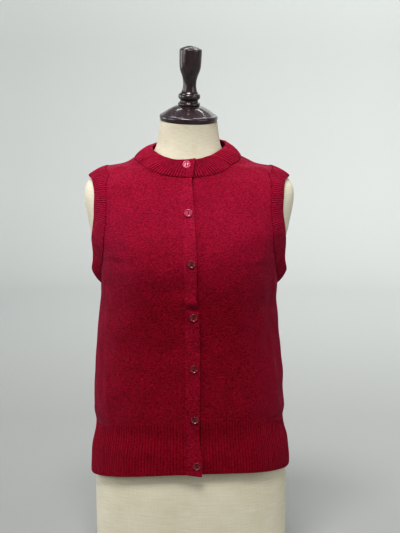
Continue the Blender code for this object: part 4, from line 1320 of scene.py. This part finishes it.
def woodPaint():
    # Dark polished mahogany: fine grain along the axis, seen through a gloss coat.
    paint = Paint("dark polished mahogany", Roughness=0.32, Coat_Weight=0.8, Coat_Roughness=0.12)
    grain = paint.noise(paint.place((900, 900, 38)), 1.0, 4.0, 0.6)
    broad = paint.noise(paint.place((160, 160, 14)), 1.0, 2.0, 0.5)
    pores = paint.between(grain, 0.60, 0.68)
    shade = paint.between(broad * 0.7 + grain * 0.3, 0.38, 0.66)
    colour = paint.mixed(shade, (0.020, 0.0110, 0.0145, 1), (0.062, 0.0310, 0.0370, 1))
    paint.feed("Base Color", paint.mixed(pores * 0.6, colour, (0.006, 0.002, 0.002, 1)))
    paint.feed("Normal", paint.bump(pores * -1.0, 0.00006))
    return paint.material


def buttonPaint():
    # Rose red with a slow pearly swirl, glossy; the ones nearest the neck are painted pinker, a painted
    # reflection of the overhead light that they face.
    paint = Paint("glossy rose button", Roughness=0.30, Coat_Weight=0.35, Coat_Roughness=0.16)
    swirl = paint.noise(paint.place(), 240, 2.0, 0.5)
    tone = paint.between(swirl, 0.38, 0.64)
    height = paint.parts(paint.place())[2]
    dark = paint.mixed(tone, (0.125, 0.007, 0.013, 1), (0.230, 0.020, 0.030, 1))
    # painted reflection: buttons higher up are mixed towards this pink, lower ones stay dark red
    paintedLitPink = paint.mixed(tone, (0.420, 0.040, 0.105, 1), (0.640, 0.100, 0.200, 1))
    paint.feed("Base Color", paint.mixed(paint.between(height, 0.57, 0.68), dark, paintedLitPink))
    paint.feed("Roughness", paint.between(swirl, 0.3, 0.7, (0.24, 0.34)))
    return paint.material


def threadPaint():
    # Plied sewing thread: a fine slanting twist.
    paint = Paint("red sewing thread", Roughness=0.6, Specular_IOR_Level=0.3)
    twist = (paint.chart()[0] * (2 * pi / 0.0006)).do("SINE") * 0.5 + 0.5
    paint.feed("Base Color", paint.mixed(twist, (0.090, 0.0020, 0.0080, 1), (0.220, 0.0060, 0.0200, 1)))
    paint.feed("Normal", paint.bump(twist, 0.0001))
    return paint.material


def backdropPaint():
    # Pale grey paint, a little lighter towards the right as painted light, and darker on the floor close
    # by as painted shade.
    paint = Paint("pale matt backdrop", Roughness=0.9, Specular_IOR_Level=0.1)
    x, y, z = paint.parts(paint.place())
    speck = paint.noise(paint.place(), 60, 3.0, 0.6) * 0.06 - 0.03
    # painted light: the wall and floor grow lighter towards +X
    across = paint.between(x, -0.95, 0.95) + speck
    # painted shade: the floor is darker close by and turns to the wall's tone farther off
    far = paint.between(y, 1.0, 4.2)
    up = paint.between(z, 0.0, 0.60).do("MAXIMUM", far) + speck
    wall = paint.mixed(across, (0.505, 0.511, 0.502, 1), (0.590, 0.600, 0.587, 1))
    floor = paint.mixed(across, (0.315, 0.318, 0.311, 1), (0.430, 0.434, 0.424, 1))
    paint.feed("Base Color", paint.mixed(up, floor, wall))
    return paint.material


# Pieces

plainStitch = {"wale": 0.0021, "course": 0.0017, "legShare": 1.0}
hemStitch = {"wale": hemBand["pitch"], "course": 0.0019, "legShare": 0.62}
bandStitch = {"wale": band["pitch"], "course": 0.0019, "legShare": 0.62}
jersey = knitPaint("brushed red jersey", **plainStitch)
stripKnit = knitPaint("red strip knit", **plainStitch, lighter=1.55)
# furrow paints shade between the ribs, and crest paints a highlight on top of them
hemKnit = knitPaint("red hem rib", **hemStitch, furrow=0.16, crest=0.04)
neckKnit = knitPaint("red neckband rib", **bandStitch, furrow=0.50, crest=0.20, lighter=1.2)
armKnit = knitPaint("red armhole rib", **bandStitch, furrow=0.60, crest=0.14)
# painted shade: the linking yarn is mixed nearly to the shade colour, for the dark shadow along each seam
linkingYarnInShade = knitPaint("linking yarn darkened as seam shade", **plainStitch, furrow=0.9)
sewingThread = threadPaint()
makePanels(jersey)
makeHems(hemKnit)
makeStrips(stripKnit)
neckSeam = makeNeckband(neckKnit, stripKnit)
armSeams = {}
for side, word in ((-1, "right"), (1, "left")):
    armSeams[word] = makeArmholeBand(f"rib_armhole_{word}", f"armhole_band_{word}", side, armKnit)
print("rib: armholes")
stitchRow("linking_neck", neckSeam, linkingYarnInShade)
for word, rails in armSeams.items():
    stitchRow(f"linking_armhole_{word}", rails, linkingYarnInShade)
print("linking: neck and armholes")
makeButtons(buttonPaint(), sewingThread)
makeForm(formPaint())
makeCap(woodPaint())


# Floor, backdrop, camera and light

stage = {"radius": 4.6, "bend": 1.2, "top": 3.4, "around": 96, "bendSteps": 25, "rings": 12}
view = {"place": (0.017, -2.22, 0.85), "down": 7.6, "focalPixels": 1200, "heightPixels": 533}
lightColumns = ("name", "place", "aim", "size", "power", "colour")
lights = (
    ("overhead", (-0.32, -1.85, 3.50), (0.0, 0.0, 0.55), (1.5, 1.0), 82, (1.0, 0.985, 0.96)),
    ("window", (-2.2, -0.8, 1.20), (0.0, 0.0, 0.55), (1.2, 1.4), 12, (0.96, 0.98, 1.0)),
    ("fill", (2.1, -1.2, 1.40), (0.1, 0.2, 0.50), (1.6, 1.6), 10, (0.97, 0.99, 1.0)),
    ("wall", (0.2, 1.6, 3.60), (0.2, 4.6, 1.00), (2.6, 0.8), 88, (0.98, 1.0, 1.0)),
    ("rear", (0.9, 3.0, 2.90), (0.0, 0.0, 0.50), (1.6, 1.0), 4, (0.98, 0.99, 1.0)),
    ("edge", (-2.4, 0.8, 1.10), (0.0, 0.0, 0.50), (1.2, 1.4), 9, (0.96, 0.98, 1.0)),
)
room = {"colour": (0.90, 0.95, 1.0, 1), "strength": 0.24}


def makeBackdrop(finish):
    # A pale round floor that sweeps up into a wall on every side, outside all the cameras: a
    # profile that is level, then a quarter circle, then upright, turned round the middle.
    angle = np.linspace(0, pi / 2, stage["bendSteps"])
    level = stage["radius"] - stage["bend"]
    rings = np.linspace(0, level, stage["rings"])[:-1]
    radius = np.concatenate([rings, level + stage["bend"] * np.sin(angle), [stage["radius"]]])
    height = np.concatenate([rings * 0, stage["bend"] * (1 - np.cos(angle)), [stage["top"]]])
    turn = np.linspace(0, 2 * pi, stage["around"] + 1)[None, :]
    radius, height = radius[:, None], height[:, None]
    points = stacked(radius * np.sin(turn), -radius * np.cos(turn), height)
    piece = addPiece("backdrop", [(points, points[..., :2])], finish)


def makeCamera():
    # The photograph's own view: level across, tilted a little down.
    camera = bpy.data.cameras.new("camera")
    camera.sensor_width = 36.0
    camera.lens = view["focalPixels"] / view["heightPixels"] * camera.sensor_width
    seen = bpy.data.objects.new("camera", camera)
    seen.location = view["place"]
    seen.rotation_euler = (radians(90 - view["down"]), 0, 0)
    bpy.context.scene.collection.objects.link(seen)
    bpy.context.scene.camera = seen


def addLight(name, place, aim, size, power, colour):
    lamp = bpy.data.lights.new(name, "AREA")
    lamp.shape = "RECTANGLE"
    lamp.size, lamp.size_y = size
    lamp.energy = power
    lamp.color = colour
    made = bpy.data.objects.new(name, lamp)
    made.location = place
    made.rotation_euler = (Vector(aim) - Vector(place)).to_track_quat("-Z", "Y").to_euler()
    bpy.context.scene.collection.objects.link(made)


makeBackdrop(backdropPaint())
makeCamera()
for row in lights:
    addLight(**dict(zip(lightColumns, row)))
world = bpy.data.worlds.new("soft room")
world.use_nodes = True
world.node_tree.nodes["Background"].inputs[0].default_value = room["colour"]
world.node_tree.nodes["Background"].inputs[1].default_value = room["strength"]
bpy.context.scene.world = world
bpy.context.scene.view_settings.view_transform = "Standard"
bpy.context.scene.view_settings.look = "High Contrast"
print("stage: floor, camera and lights")
